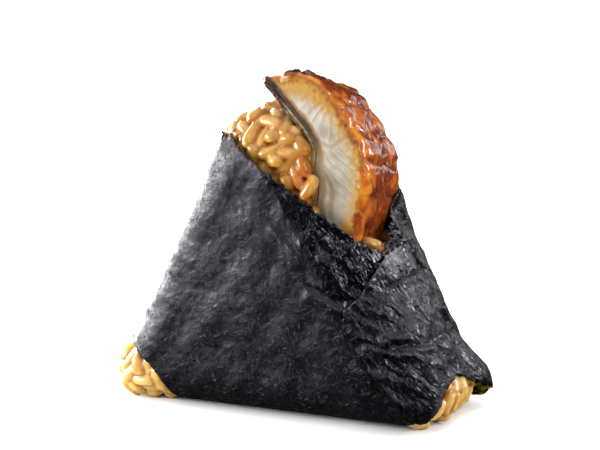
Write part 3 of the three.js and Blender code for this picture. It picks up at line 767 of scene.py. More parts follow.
HEEL = (16, 41.4)  # right of this x no grain lies higher than this z: the eel's heel is there
LONE_GRAIN = (24.4, -10.4, 44.4)  # one that has rolled out under the heel
LONE_WAY = (0.93, 0.3, -0.2)
GRAIN_KINDS = 10
GRAIN_LENGTH = (4.5, 6.6)
GRAIN_WIDTH = (3.1, 3.8)
GRAIN_THICK = (2.9, 3.4)
GRAIN_BEND = 0.5
GRAIN_TAPER = 0.12  # how much slimmer one end is
GRAIN_DENTS = 0.2
GRAIN_SEGMENTS = 14
GRAIN_RINGS = 11
GRAIN_SIZES = (0.95, 1.12)
STICKY_CELL = 0.32  # size of the cells of the mesh in which the grains are fused
STICKY_SHARE = 0.48  # the share of that mesh's triangles that is kept
SHOULDER = np.array([-15, 0, 69])  # the rice stands proud here, where it was heaped for the eel
SHOULDER_REACH = 16
SHOULDER_RISE = 1.7

random = np.random.default_rng(11)


def block_distance(points):
    """Distance from the block's surface and the outward direction; negative inside."""
    flat = points[:, [0, 2]]
    reach = np.array([flat @ normal - far for normal, far in SIDES])
    side = np.argmax(reach, axis=0)
    distance = np.max(reach, axis=0)
    way = np.array([normal for normal, _ in SIDES])[side]
    for i in range(3):
        centre, radius, _, _ = corner_arc(i, 0)
        rel = flat - centre
        shares = rel @ np.linalg.inv(np.array([SIDES[i - 1][0], SIDES[i][0]]))
        wedge = np.all(shares > 0, axis=1)
        far = np.linalg.norm(rel, axis=1)
        distance = np.where(wedge, far - radius, distance)
        way = np.where(wedge[:, None], rel / np.maximum(far, 1e-9)[:, None], way)
    a = distance + EDGE_R
    b = np.abs(points[:, 1]) - STRAIGHT
    lone = np.maximum(a, b) <= 0
    up, out = np.where(lone, a > b, np.maximum(a, 0)), np.where(lone, a <= b, np.maximum(b, 0))
    far = np.maximum(np.hypot(up, out), 1e-9)
    result = np.where(lone, np.maximum(a, b), far) - EDGE_R
    rise, side_way = up / far, np.sign(points[:, 1]) * out / far
    return result, np.column_stack([way[:, 0] * rise, side_way, way[:, 1] * rise])


def nearest(placed, spot):
    """Distance from a spot to the nearest one that is placed."""
    return np.min(np.linalg.norm(np.array(placed) - spot, axis=1))


def grain_balls(middles, ways):
    """The centres of every grain's three balls, grain after grain."""
    offsets = np.array([-1, 0, 1]) * GRAIN_HALF
    return (middles[:, None] + ways[:, None] * offsets[None, :, None]).reshape(-1, 3)


def scattered_grains():
    """Middles and directions of the grains before they settle."""
    points, out, triangles = stitched(block_rings(SCATTER_CELL))
    keep = bareness(points[triangles].mean(axis=1)) > GRAIN_UNDER
    triangles = triangles[keep]
    corners = points[triangles]
    first, second = corners[:, 1] - corners[:, 0], corners[:, 2] - corners[:, 0]
    area = np.linalg.norm(np.cross(first, second), axis=1)
    placed, ways = [], []
    for depth in GRAIN_LAYERS:
        layer = []
        picks = random.choice(len(triangles), LAYER_PICKS, p=area / area.sum())
        shares = random.dirichlet((1, 1, 1), len(picks))
        spots = np.einsum("ij,ijk->ik", shares, corners[picks])
        normals = out[triangles[picks, 0]]
        spots = spots - normals * depth
        fits = (eel_distance(spots) > GRAIN_CLEAR) & (spots[:, 2] > GRAIN_LOWEST)
        fits &= (spots[:, 0] < HEEL[0]) | (spots[:, 2] < HEEL[1])
        fits &= ~in_front_of_cut(spots, 1)
        for spot, normal in zip(spots[fits], normals[fits]):
            if layer and nearest(layer, spot) < GRAIN_SPACING:
                continue
            if placed and nearest(placed, spot) < LAYER_SPACING * GRAIN_SPACING:
                continue
            layer.append(spot)
            way = np.cross(normal, random.normal(size=3))
            way /= np.linalg.norm(way)
            way += normal * random.normal() * GRAIN_LEAN
            ways.append(way / np.linalg.norm(way))
        placed += layer
    return np.array(placed), np.array(ways)


def settled_grains(middles, ways):
    """The grains pushed apart, kept in the block, off the floor and clear of the eel."""
    count = len(middles)
    owner = np.repeat(np.arange(count), 3)
    proud = np.repeat(random.uniform(*GRAIN_PROUD, count), 3)
    for turn in range(SETTLE_STEPS):
        balls = grain_balls(middles, ways)
        if turn % 10 == 0:
            near = np.linalg.norm(balls[:, None] - balls[None], axis=2) < 2 * GRAIN_R + 1.5
            first, second = np.nonzero(near & (owner[:, None] != owner[None]))
        gap = balls[first] - balls[second]
        distance = np.maximum(np.linalg.norm(gap, axis=1), 1e-6)[:, None]
        push = np.zeros_like(balls)
        overlap = np.maximum(2 * GRAIN_R - distance, 0)
        np.add.at(push, first, gap / distance * overlap * PUSH_APART)
        depth, out = block_distance(balls)
        covered = rising(1.2, -0.8, bareness(balls))
        heaped = SHOULDER_RISE * rising(SHOULDER_REACH, 4, np.linalg.norm(balls - SHOULDER, axis=1))
        limit = -GRAIN_R + PRESSED + proud * (1 - covered) - COVERED * covered + heaped
        push -= out * np.maximum(depth - limit, 0)[:, None] * PUSH_IN
        push += out * (CREEP * (1 - covered) + HEAP_CREEP * (heaped > 0.3))[:, None]
        eel_gap = eel_distance(balls)
        close = np.nonzero(eel_gap < GRAIN_R)[0]
        slope = np.column_stack([
            eel_distance(balls[close] + np.eye(3)[axis] * 0.3) - eel_gap[close] for axis in range(3)
        ]) / 0.3
        push[close] += slope * np.clip(GRAIN_R - 0.2 - eel_gap[close], 0, 1)[:, None] * PUSH_OFF_EEL
        push[:, 2] += np.maximum(GRAIN_R - balls[:, 2], 0)
        push = push.reshape(count, 3, 3)
        middles = middles + push.mean(axis=1)
        ways = ways + (push[:, 2] - push[:, 0]) / (2 * GRAIN_HALF) * GRAIN_TURN
        ways /= np.linalg.norm(ways, axis=1, keepdims=True)
    # A grain with a ball close under the sheet would bulge through it, and is left out.
    under_sheet = (bareness(balls) < -1) & (block_distance(balls)[0] > -1.9)
    free = ~np.any(under_sheet.reshape(count, 3), axis=1)
    balls = balls.reshape(count, 3, 3)
    keep = []
    for i in np.argsort(-block_distance(middles)[0], kind="stable"):
        if not free[i]:
            continue
        gaps = np.linalg.norm(balls[keep][:, :, None] - balls[i][None, None], axis=3)
        at_corner = rising(22, 34, middles[i, 0]) * rising(-3, -9, middles[i, 1])
        least = lerp(CROWDED, CROWDED_CORNER, at_corner)
        if not keep or gaps.min() > 2 * GRAIN_R * least:
            keep.append(i)
    keep = np.array(keep)
    lone_way = np.array(LONE_WAY) / np.linalg.norm(LONE_WAY)
    return np.vstack([middles[keep], LONE_GRAIN]), np.vstack([ways[keep], lone_way])


def grain_shape(kind):
    """One grain along x, in millimetres: plump, slightly bent, one end slimmer."""
    shape_random = np.random.default_rng(100 + kind)
    length = shape_random.uniform(*GRAIN_LENGTH)
    width, thick = shape_random.uniform(*GRAIN_WIDTH), shape_random.uniform(*GRAIN_THICK)
    bend = shape_random.uniform(-GRAIN_BEND, GRAIN_BEND)
    taper = shape_random.uniform(0, GRAIN_TAPER)
    angle = np.linspace(0, math.pi, GRAIN_RINGS + 1)[1:-1]
    round_way = np.linspace(0, 2 * math.pi, GRAIN_SEGMENTS, endpoint=False)
    t = -np.cos(angle)
    radius = np.sin(angle) ** 0.6 * (1 - taper * t)
    rows = []
    for along, size in zip(t, radius):
        y = np.cos(round_way) * width / 2 * size
        z = np.sin(round_way) * thick / 2 * size + bend * (1 - along * along)
        rows.append(np.column_stack([np.full_like(y, along * length / 2), y, z]))
    points = np.vstack([*rows, [[-length / 2, 0, 0], [length / 2, 0, 0]]])
    dents = np.column_stack([lumps(points, 3, 1, 30 + 3 * kind + axis) for axis in range(3)])
    points += GRAIN_DENTS * dents
    here = np.arange(GRAIN_SEGMENTS)
    after = (here + 1) % GRAIN_SEGMENTS
    triangles = []
    for row in range(len(rows) - 1):
        a, b = row * GRAIN_SEGMENTS, (row + 1) * GRAIN_SEGMENTS
        triangles.append(np.column_stack([a + here, a + after, b + after]))
        triangles.append(np.column_stack([a + here, b + after, b + here]))
    last = (len(rows) - 1) * GRAIN_SEGMENTS
    ends = len(rows) * GRAIN_SEGMENTS
    triangles.append(np.column_stack([after, here, np.full(GRAIN_SEGMENTS, ends)]))
    triangles.append(np.column_stack([last + here, last + after, np.full(GRAIN_SEGMENTS, ends + 1)]))
    return points, outward(points, np.vstack(triangles))


grain_material = rice_material("rice_grain", (158, 88, 22))
grain_kinds = bpy.data.collections.new("grain_kinds")
for kind in range(GRAIN_KINDS):
    kind_points, kind_faces = grain_shape(kind)
    grain_object = make_piece(f"grain_kind_{kind}", kind_points, kind_faces, grain_material)
    bpy.context.scene.collection.objects.unlink(grain_object)
    grain_kinds.objects.link(grain_object)

middles, ways = settled_grains(*scattered_grains())
turns = np.array([Vector(way).to_track_quat("X", "Z").to_euler() for way in ways], np.float32)
tints = random.uniform(0, 0.4, len(middles)) + 0.6 * rising(20, 50, middles[:, 2])
grains = make_piece("rice_grains", middles, np.zeros((0, 3), int), grain_material)
grains.data.attributes.new("turn", "FLOAT_VECTOR", "POINT").data.foreach_set("vector", turns.ravel())


def grain_tree():
    """Geometry nodes that put one of the kinds of grain at each point, turned as it is told to be."""
    tree = bpy.data.node_groups.new("grains_on_block", "GeometryNodeTree")
    for name, way, kind in (
        ("Geometry", "INPUT", "Geometry"), ("Grain kinds", "INPUT", "Collection"),
        ("Least size", "INPUT", "Float"), ("Greatest size", "INPUT", "Float"),
        ("Seed", "INPUT", "Int"), ("Geometry", "OUTPUT", "Geometry"),
    ):
        tree.interface.new_socket(name, in_out=way, socket_type=f"NodeSocket{kind}")
    new, link = tree.nodes.new, tree.links.new
    given = new("NodeGroupInput")
    result = new("NodeGroupOutput")
    info = new("GeometryNodeCollectionInfo")
    info.inputs["Separate Children"].default_value = True
    info.inputs["Reset Children"].default_value = True
    link(given.outputs["Grain kinds"], info.inputs["Collection"])
    turn = new("GeometryNodeInputNamedAttribute")
    turn.data_type = "FLOAT_VECTOR"
    turn.inputs["Name"].default_value = "turn"
    pick = new("FunctionNodeRandomValue")
    pick.data_type = "INT"
    pick.inputs["Min"].default_value = 0
    pick.inputs["Max"].default_value = GRAIN_KINDS - 1
    link(given.outputs["Seed"], pick.inputs["Seed"])
    size = new("FunctionNodeRandomValue")
    size.data_type = "FLOAT"
    link(given.outputs["Least size"], size.inputs[2])
    link(given.outputs["Greatest size"], size.inputs[3])
    link(given.outputs["Seed"], size.inputs["Seed"])
    place = new("GeometryNodeInstanceOnPoints")
    place.inputs["Pick Instance"].default_value = True
    link(given.outputs["Geometry"], place.inputs["Points"])
    link(info.outputs["Instances"], place.inputs["Instance"])
    link(pick.outputs[2], place.inputs["Instance Index"])
    link(turn.outputs["Attribute"], place.inputs["Rotation"])
    link(size.outputs[1], place.inputs["Scale"])
    real = new("GeometryNodeRealizeInstances")
    paint = new("GeometryNodeSetMaterial")
    paint.inputs["Material"].default_value = grain_material
    link(place.outputs["Instances"], real.inputs["Geometry"])
    link(real.outputs["Geometry"], paint.inputs["Geometry"])
    link(paint.outputs["Geometry"], result.inputs["Geometry"])
    return tree


grower = grains.modifiers.new("grains", "NODES")
grower.node_group = grain_tree()
inputs = [item for item in grower.node_group.interface.items_tree if item.in_out == "INPUT"]
sockets = {item.name: item.identifier for item in inputs}
grower[sockets["Grain kinds"]] = grain_kinds
grower[sockets["Least size"]] = GRAIN_SIZES[0]
grower[sockets["Greatest size"]] = GRAIN_SIZES[1]
grower[sockets["Seed"]] = 5

# The grains are fused where they touch, and the creases between them are softened.
fuse = grains.modifiers.new("stuck together", "REMESH")
fuse.mode = "VOXEL"
fuse.voxel_size = STICKY_CELL * MM
soften = grains.modifiers.new("soft", "SMOOTH")
soften.factor = 0.4
soften.iterations = 1
thin_out = grains.modifiers.new("fewer triangles", "DECIMATE")
thin_out.ratio = STICKY_SHARE
fused = bpy.data.meshes.new_from_object(grains.evaluated_get(bpy.context.evaluated_depsgraph_get()))
grains.modifiers.clear()
fused.materials.clear()
fused.materials.append(grain_material)
grains.data = fused
fused.shade_smooth()

# Each point takes the tint of its own grain. It takes painted shade where it lies deep down in the
# block, in a crevice between two grains, where sauce also gathers, and beside the foot of the eel, in
# its shade.
NEAR_BALLS = 9  # enough to hold one of another grain
NO_OTHER = 9.0  # the distance that stands for none at all
IN_CREVICE = (GRAIN_R + 1.1, GRAIN_R + 0.1)  # distances from the next grain's balls
ball_tree = kdtree.KDTree(3 * len(middles))
for i, ball in enumerate(grain_balls(middles, ways)):
    ball_tree.insert(ball, i)
ball_tree.balance()
fused_points = np.zeros(len(fused.vertices) * 3)
fused.vertices.foreach_get("co", fused_points)
fused_points = fused_points.reshape(-1, 3) / MM
tint = np.zeros(len(fused_points))
next_grain = np.full(len(fused_points), NO_OTHER)
for i, place in enumerate(fused_points):
    found = [(ball // 3, distance) for _, ball, distance in ball_tree.find_n(place, NEAR_BALLS)]
    own = found[0][0]
    others = [distance for grain, distance in found if grain != own]
    tint[i] = tints[own]
    if others:
        next_grain[i] = others[0]
deep = np.maximum(rising(-0.8, -3.4, block_distance(fused_points)[0]), rising(*IN_CREVICE, next_grain))
shade_by_eel = rising(8, 2, eel_distance(fused_points)) * rising(74, 62, fused_points[:, 2])
deep = np.maximum(deep, 0.9 * shade_by_eel * (fused_points[:, 0] < 12))
fused_points[:, 2] = np.maximum(fused_points[:, 2], 0)
fused.vertices.foreach_set("co", (fused_points * MM).ravel())
for name, numbers in (("tint", tint), ("deep", deep)):
    fused.attributes.new(name, "FLOAT", "POINT").data.foreach_set("value", numbers.astype(np.float32))
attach(grains, "root")
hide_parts("rice")

# ---------------------------------------------------------------- the nori
# One sheet of roasted seaweed, wound round the block while it was warm, so that it has gone soft,
# taken the marks of the rice and wrinkled. It is matt to satin, almost black, and full of fibres.
NORI_CELL = 0.68  # size of the sheet's triangles
NORI_THICKNESS = 0.3
WRINKLE = 0.45  # height of its soft waves
MARKS = 1300  # grains that press through it
MARK_HALF = 3.4  # half the length and half the width of a grain's mark
MARK_R = 1.7
MARK_HEIGHTS = (0.14, 0.08)  # how high they stand where the sheet lies smooth, and where it is tight
BROAD_WAVE = 0.3
COARSE_WRINKLES = (0.08, 1.2)  # the same two places again
FINE_WRINKLES = (0.09, 0.36)
FUZZ = 0.05  # the sheet's finest roughness
EEL_CLEARANCE = 0.4
FLARE = 1.4  # how far the sheet stands out round the foot of the eel
LIP = 0.3  # how far its edge curls out beside the eel
TEAR_FINE = 0.3  # how uneven its torn edge is
TEAR_COARSE = 0.35
POCKET = 5.5  # how far its loose back right corner stands out
POCKET_TIP = np.array([45, 17, 3])
POCKET_WAY = np.array([0.72, 0.45, -0.2])
RIDGE = ((-1, 64), (19, 32))  # x and z of a soft fold down the front
RIDGE_HEIGHT = 0.5
RIDGE_HOLLOW = 2.0  # depth of the hollow to its right
PILLOW = 1.5  # how far the front swells to its left
PILLOW_REACH = 38
PULL = (0.46, 0.5, -0.73)  # the sheet was pulled tight this way on the right, and wrinkled along it
CREASES = (  # each a line in front view, x and z from end to end, then its width and depth
    (((25.5, 22), (39, 20.5)), 1.3, 1.1), (((38, 21.5), (43.5, 12)), 1.0, 0.8),
    (((12, 34.5), (21.5, 31.5)), 1.6, 0.8), (((16, 44), (25, 33)), 1.2, 0.6),
    (((30, 40), (33, 26)), 1.1, 0.7), (((3, 50), (12, 41)), 1.4, 0.5),
)


def sheet_course(points, out):
    """Where the sheet lies off the block: soft waves, a flare round the eel and a loose corner."""
    x, y, z = points.T
    free = rising(0.5, 9, z)
    waves = np.sin(0.33 * x + 0.21 * z + 0.4 * y) * np.sin(0.27 * z - 0.19 * x + 0.9)
    waves += 0.5 * np.sin(0.62 * x - 0.47 * z + 0.5 * y)
    shift = out * (WRINKLE * free * (0.35 + 0.4 * waves))[:, None]
    shift[:, 0] += FLARE * rising(40, 56, z) * rising(4, 20, x) * rising(-17, -4, y) * rising(21, 15, y)
    lip = rising(-2.6, 0, bareness(points)) * rising(20, 23, x) * rising(-16, -12, y) * rising(12, 6, y)
    shift[:, 0] += LIP * lip * (z > 40)
    pocket = POCKET * rising(17, 4, np.linalg.norm(points - POCKET_TIP, axis=1))
    return shift + POCKET_WAY * pocket[:, None]


def fold_distance(points, line):
    """Signed distance in front view from a line, positive to its right, and the share along it."""
    (x0, z0), (x1, z1) = line
    length = math.hypot(x1 - x0, z1 - z0)
    ux, uz = (x1 - x0) / length, (z1 - z0) / length
    dx, dz = points[:, 0] - x0, points[:, 2] - z0
    return -(dx * uz - dz * ux), (dx * ux + dz * uz) / length


def ridged(points, size, octaves, seed):
    """Noise with sharp crests, 0 to 1."""
    return 1 - np.abs(np.clip(lumps(points, size, octaves, seed) * 1.8, -1, 1))


def drawn_out(points, way, times):
    """The points pressed together along a direction, so that noise on them is drawn out along it."""
    way = np.array(way) / np.linalg.norm(way)
    return points - np.outer(points @ way, way) * (1 - 1 / times)


def grain_marks(points, out):
    """Low bumps where grains press through the sheet."""
    marks = np.zeros(len(points))
    shape_random = np.random.default_rng(3)
    picks = shape_random.choice(len(points), MARKS, replace=False)
    for pick in picks:
        rel = points - points[pick]
        near = np.nonzero(np.sum(rel * rel, axis=1) < 16)[0]  # a little past a mark's ends
        way = np.cross(out[pick], shape_random.normal(size=3))
        way /= np.linalg.norm(way)
        along = rel[near] @ way
        square = np.sum(rel[near] ** 2, axis=1)
        level = 1 - (along / MARK_HALF) ** 2 - (square - along ** 2) / MARK_R ** 2
        marks[near] = np.maximum(marks[near], np.sqrt(np.clip(level, 0, 1)))
    return marks


def sheet_relief(points, out):
    """Height of the sheet's own relief over its course."""
    x, y, z = points.T
    free = rising(0.2, 3, z)
    right = drawn_tight(points)
    pulled = drawn_out(points, PULL, 3.2)
    relief = lerp(*MARK_HEIGHTS, right) * grain_marks(points, out)
    relief += BROAD_WAVE * lumps(points, 12, 2, 41)
    relief += lerp(*COARSE_WRINKLES, right) * (ridged(pulled, 6, 2, 42) - 0.5)
    part_pulled = lerp(points, pulled, right[:, None])
    relief += lerp(*FINE_WRINKLES, right) * (ridged(part_pulled, 3, 2, 43) - 0.5)
    relief += FUZZ * lumps(points, 1.3, 2, 44)
    front = rising(-6, -12, y)
    side, share = fold_distance(points, RIDGE)
    near_ridge = front * rising(-0.25, 0.1, share) * rising(1.5, 0.9, share)
    hollow = RIDGE_HOLLOW * rising(-0.5, 7, side) * rising(32, 14, side)
    relief += near_ridge * (RIDGE_HEIGHT * np.exp(-np.abs(side) / 2.2) - hollow)
    pillow = np.clip(1 - (np.maximum(-side, 0) / PILLOW_REACH) ** 1.4, 0, 1)
    relief += front * PILLOW * pillow * rising(0, 20, z)
    for line, width, depth in CREASES:
        side, share = fold_distance(points, line)
        along = rising(-0.15, 0.1, share) * rising(1.15, 0.9, share)
        place = side + 0.5 * np.sin(0.9 * x + 1.1 * z)
        relief += rising(6, -2, y) * along * depth * (
            0.6 * np.exp(-((place + width) / width) ** 2) - np.exp(-(place / (0.6 * width)) ** 2)
        )
    return relief * free


def clipped(points, out, triangles, level):
    """The part of a mesh where level is below 0, its triangles cut along the line of 0."""
    kept_all = np.all(level[triangles] <= 0, axis=1)
    some = np.any(level[triangles] < 0, axis=1) & ~kept_all
    rows = np.hstack([points, out])
    new_rows, cuts, faces = [], {}, []
    for triangle in triangles[some].tolist():
        polygon = []
        for a, b in zip(triangle, triangle[1:] + triangle[:1]):
            if level[a] <= 0:
                polygon.append(a)
            if (level[a] < 0 < level[b]) or (level[b] < 0 < level[a]):
                key = (min(a, b), max(a, b))
                if key not in cuts:
                    share = level[a] / (level[a] - level[b])
                    cuts[key] = len(rows) + len(new_rows)
                    new_rows.append(lerp(rows[a], rows[b], share))
                polygon.append(cuts[key])
        faces += [(polygon[0], polygon[i], polygon[i + 1]) for i in range(1, len(polygon) - 1)]
    rows = np.vstack([rows, *new_rows])
    triangles = np.vstack([triangles[kept_all], np.array(faces)])
    used, triangles = np.unique(triangles, return_inverse=True)
    rows = rows[used]
    return rows[:, :3], rows[:, 3:], triangles.reshape(-1, 3)


def snapped(level, reach):
    """The level with values near 0 set to 0, so that a cut leaves no slivers."""
    return np.where(np.abs(level) < reach, 0.0, level)


def drawn_tight(points):
    """1 where the sheet was pulled tight and is finely wrinkled, 0 where it lies smooth."""
    return rising(8, 30, points[:, 0] + 0.35 * (points[:, 2] - 30)) * rising(26, 0, points[:, 1])


def valley(points):
    """1 in the sheet's hollow to the right of the fold, 0 away from it; shade is painted on the sheet
    there.
    """
    side, share = fold_distance(points, RIDGE)
    along = rising(-0.4, 0, share) * rising(1.5, 1.0, share)
    across = rising(-0.6, 1.4, side + 0.8 * lumps(points, 3, 2, 47)) * rising(17, 8, side)
    return along * across * rising(-6, -12, points[:, 1])


def thickened(points, triangles, thickness):
    """A thin sheet with a wall: its points, its triangles, and 1 where a point is on the inner face."""
    normals = vertex_normals(points, triangles)
    count = len(points)
    edges = np.vstack([triangles[:, [0, 1]], triangles[:, [1, 2]], triangles[:, [2, 0]]])
    code = edges[:, 0] * count + edges[:, 1]
    back = edges[:, 1] * count + edges[:, 0]
    rim = edges[~np.isin(code, back)]
    wall = np.vstack([
        np.column_stack([rim[:, 1], rim[:, 0], rim[:, 0] + count]),
        np.column_stack([rim[:, 1], rim[:, 0] + count, rim[:, 1] + count]),
    ])
    both = np.vstack([points, points - normals * thickness])
    inner = np.repeat([0.0, 1.0], count)
    return both, np.vstack([triangles, triangles[:, ::-1] + count, wall]), inner


def nori_material():
    """Black seaweed with grey fibres and wisps whose grey is partly painted sheen, patches of painted
    sheen, painted shade in its hollow, and on the inside olive with painted light, green and gold,
    shining through.
    A value that a piece doesn't carry counts as 0."""
    material, tree, shader = new_finish("nori")
    patches = pattern(tree, 6, 4, 0.55, warp=0.5)
    wisps = pattern(tree, 1.5, 3, 0.6, squash=(1.7, 1, 0.75), turn=(0, math.radians(-35), 0), warp=0.3)
    # Painted shade: the grey and the fibres are darkened in the hollow right of the fold.
    lit = ramp(tree, attribute(tree, "hollow"), 0, 1, 1, 0.25)
    threads = None
    for degrees, size in ((15, 0.8), (60, 1.1), (100, 0.7), (150, 1.2)):
        strand = pattern(tree, size, 2, 0.6, (2.6, 1, 0.3), (0, math.radians(degrees), 0), 0.8)
        strand = ramp(tree, strand, 0.64, 0.74)
        threads = strand if threads is None else combine(tree, "MAXIMUM", threads, strand)
    grit = pattern(tree, 0.7, 2, 0.5)
    pits = ramp(tree, pattern(tree, 1.7, 3, 0.6), 0.34, 0.27)
    flecks = ramp(tree, pattern(tree, 1.3, 4, 0.7, (1.6, 1, 0.8)), 0.68, 0.76)
    # The grey of the wisps is partly the sheet's own fibre tone and partly painted sheen, with the
    # painted shade of the hollow on it.
    grey_and_painted_light = times(tree, ramp(tree, wisps, 0.48, 0.74), ramp(tree, grit, 0.3, 0.6, 0.4, 1))
    grey_and_painted_light = times(tree, grey_and_painted_light, ramp(tree, patches, 0.4, 0.62, 0.1, 1))
    grey_and_painted_light = times(tree, grey_and_painted_light, lit)
    grey_and_painted_light = times(tree, grey_and_painted_light, ramp(tree, attribute(tree, "drawn"), 0, 1, 1, 0.3))
    black = blend(tree, grey_and_painted_light, srgb(2, 2, 4), srgb(34, 34, 42))
    black = blend(tree, times(tree, threads, times(tree, lit, 0.36)), black, srgb(96, 96, 106))
    # Painted sheen: lighter grey in the wisps where the piece carries it.
    worn = times(tree, attribute(tree, "worn"), ramp(tree, wisps, 0.36, 0.56))
    black = blend(tree, worn, black, srgb(118, 118, 128))
    black = blend(tree, times(tree, flecks, 0.8), black, srgb(96, 96, 44))
    black = blend(tree, pits, black, srgb(3, 3, 3))
    # The inner face is dark olive, with painted light in green and gold where light would shine through
    # the thin sheet.
    inside = blend(tree, ramp(tree, wisps, 0.46, 0.6), srgb(20, 18, 8), srgb(176, 166, 22))
    colour = blend(tree, attribute(tree, "inner"), black, inside)
    tree.links.new(colour, shader.inputs["Base Color"])
    rough = ramp(tree, wisps, 0.4, 0.62, 0.56, 0.36)
    rough = plus(tree, rough, ramp(tree, grit, 0.3, 0.7, 0.08, -0.08))
    rough = combine(tree, "SUBTRACT", rough, times(tree, attribute(tree, "drawn"), 0.18))
    slick = combine(tree, "MAXIMUM", attribute(tree, "turned"), attribute(tree, "hollow"))
    rough = combine(tree, "SUBTRACT", rough, times(tree, slick, 0.18))
    tree.links.new(rough, shader.inputs["Roughness"])
    same_all_over(shader, {"Specular IOR Level": 0.45, "Specular Tint": (0.93, 0.92, 1.0, 1)})
    creases = pattern(tree, 3.6, 3, 0.5, squash=(1.4, 1, 0.8), turn=(0, math.radians(-35), 0), warp=0.4)
    rumpled = ramp(tree, pattern(tree, 7, 3, 0.5, warp=0.6), 0.46, 0.66, 0.12, 1)
    height = plus(tree, times(tree, creases, 0.2), times(tree, wisps, 0.32))
    height = times(tree, height, rumpled)
    height = plus(tree, height, times(tree, threads, 0.2))
    height = combine(tree, "SUBTRACT", height, times(tree, pits, 0.15))
    height = plus(tree, height, times(tree, grit, 0.22))
    height = times(tree, height, ramp(tree, attribute(tree, "turned"), 0, 1, 1, 0.2))
    height = times(tree, height, ramp(tree, attribute(tree, "drawn"), 0, 1, 1, 0.35))
    pulls = pattern(tree, 1.7, 1.6, 0.5, squash=(2.4, 1.4, 0.6), turn=(0, math.radians(50), 0), warp=0.6)
    pulls = times(tree, pulls, attribute(tree, "drawn"))
    height = plus(tree, height, times(tree, pulls, 2.2))
    relief_bump(tree, shader, height, 0.36)
    return material


wrap_points, wrap_out, wrap_faces = stitched(block_rings(NORI_CELL))
torn = TEAR_FINE * lumps(wrap_points, 1.4, 3, 45) + TEAR_COARSE * lumps(wrap_points, 5, 2, 46)
wrap_level = snapped(bareness(wrap_points) + torn, 0.1)
wrap_points, wrap_out, wrap_faces = clipped(wrap_points, wrap_out, wrap_faces, wrap_level)
wrap_relief = sheet_relief(wrap_points, wrap_out)
wrap_painted_shade = valley(wrap_points)
wrap_turned = rising(0.35, 0.8, -wrap_out[:, 0])
wrap_drawn = drawn_tight(wrap_points)
wrap_points = wrap_points + sheet_course(wrap_points, wrap_out) + wrap_out * wrap_relief[:, None]


def off_the_eel(points, gap):
    """The points moved to the right where the eel would touch them."""
    moved = points.copy()
    for _ in range(6):
        lack = np.maximum(gap - eel_distance(moved), 0)
        lack *= (moved[:, 1] > EEL_FRONT - 1) & (moved[:, 0] > 8)
        moved[:, 0] += lack
    return moved


wrap_points = off_the_eel(wrap_points, NORI_THICKNESS + EEL_CLEARANCE)
wrap_points[:, 2] = np.maximum(wrap_points[:, 2], 0)
wrap_points, wrap_faces, wrap_inner = thickened(wrap_points, wrap_faces, NORI_THICKNESS)
wrap_points[:, 2] = np.maximum(wrap_points[:, 2], 0)
# Inside the loose corner the inner face takes its olive colour and its painted light.
in_pocket = rising(20, 14, np.linalg.norm(wrap_points - POCKET_TIP, axis=1))
nori_finish = nori_material()
wrap = make_piece(
    "nori_wrap", wrap_points, wrap_faces, nori_finish, inner=wrap_inner * in_pocket,
    hollow=np.tile(wrap_painted_shade, 2), turned=np.tile(wrap_turned, 2), drawn=np.tile(wrap_drawn, 2),
)
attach(wrap, "root")
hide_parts("nori")

# ---------------------------------------------------------------- the nori's folded end
# The end of the same sheet, brought round from the right and laid over the front. It only sticks
# by its own damp, so its free edge lifts and it is the most crumpled part.
FLAP = np.array([  # its outline in front view, x and z
    (27.4, 50), (27.8, 43), (27, 38.4), (25.2, 33.5), (22, 30), (21.8, 26), (25, 21), (29, 15.5),
    (33, 11), (37, 5.5), (41, 1), (60, 0.6), (60, 66), (24, 66),
])
FLAP_CELL = 0.5
FLAP_LIFT = 0.8  # how far it stands off the sheet under it
FLAP_TUCK = -0.6  # and towards the back, where it is the same sheet, it sinks into it
FLAP_BACK = 12  # y of its hidden rear edge
EDGE_LIFT = 0.5  # its free edge stands off more, here and there
FLAP_TEAR = 0.25  # how uneven its edge is
FLAP_WRINKLES = 0.5  # height of the wrinkles it has besides the sheet's
FLAP_CLEARANCE = 0.3  # it lies this much further from the eel than the sheet under it
SHEEN_SPOT = np.array([27.5, -9, 44])  # painted sheen: lighter round here
SHEEN_SPOT_REACH = 11

flap_points, flap_out, flap_faces = stitched(block_rings(FLAP_CELL))
flap_near = (flap_points[:, 0] > 14) & (flap_points[:, 1] < FLAP_BACK + 1)
flap_faces = flap_faces[np.all(flap_near[flap_faces], axis=1)]
flap_used, flap_faces = np.unique(flap_faces, return_inverse=True)
flap_faces = flap_faces.reshape(-1, 3)
flap_points, flap_out = flap_points[flap_used], flap_out[flap_used]
flap_flat = polygon_distance(flap_points[:, [0, 2]], FLAP)
flap_level = np.maximum(flap_flat, bareness(flap_points))
flap_level += FLAP_TEAR * lumps(flap_points, 1.6, 3, 51)
flap_level = np.maximum(flap_level, flap_points[:, 1] - FLAP_BACK)
flap_level = snapped(flap_level, 0.08)
flap_points, flap_out, flap_faces = clipped(flap_points, flap_out, flap_faces, flap_level)
flap_drawn = drawn_tight(flap_points)
flap_worn = hump(np.linalg.norm(flap_points - SHEEN_SPOT, axis=1), 0, SHEEN_SPOT_REACH)
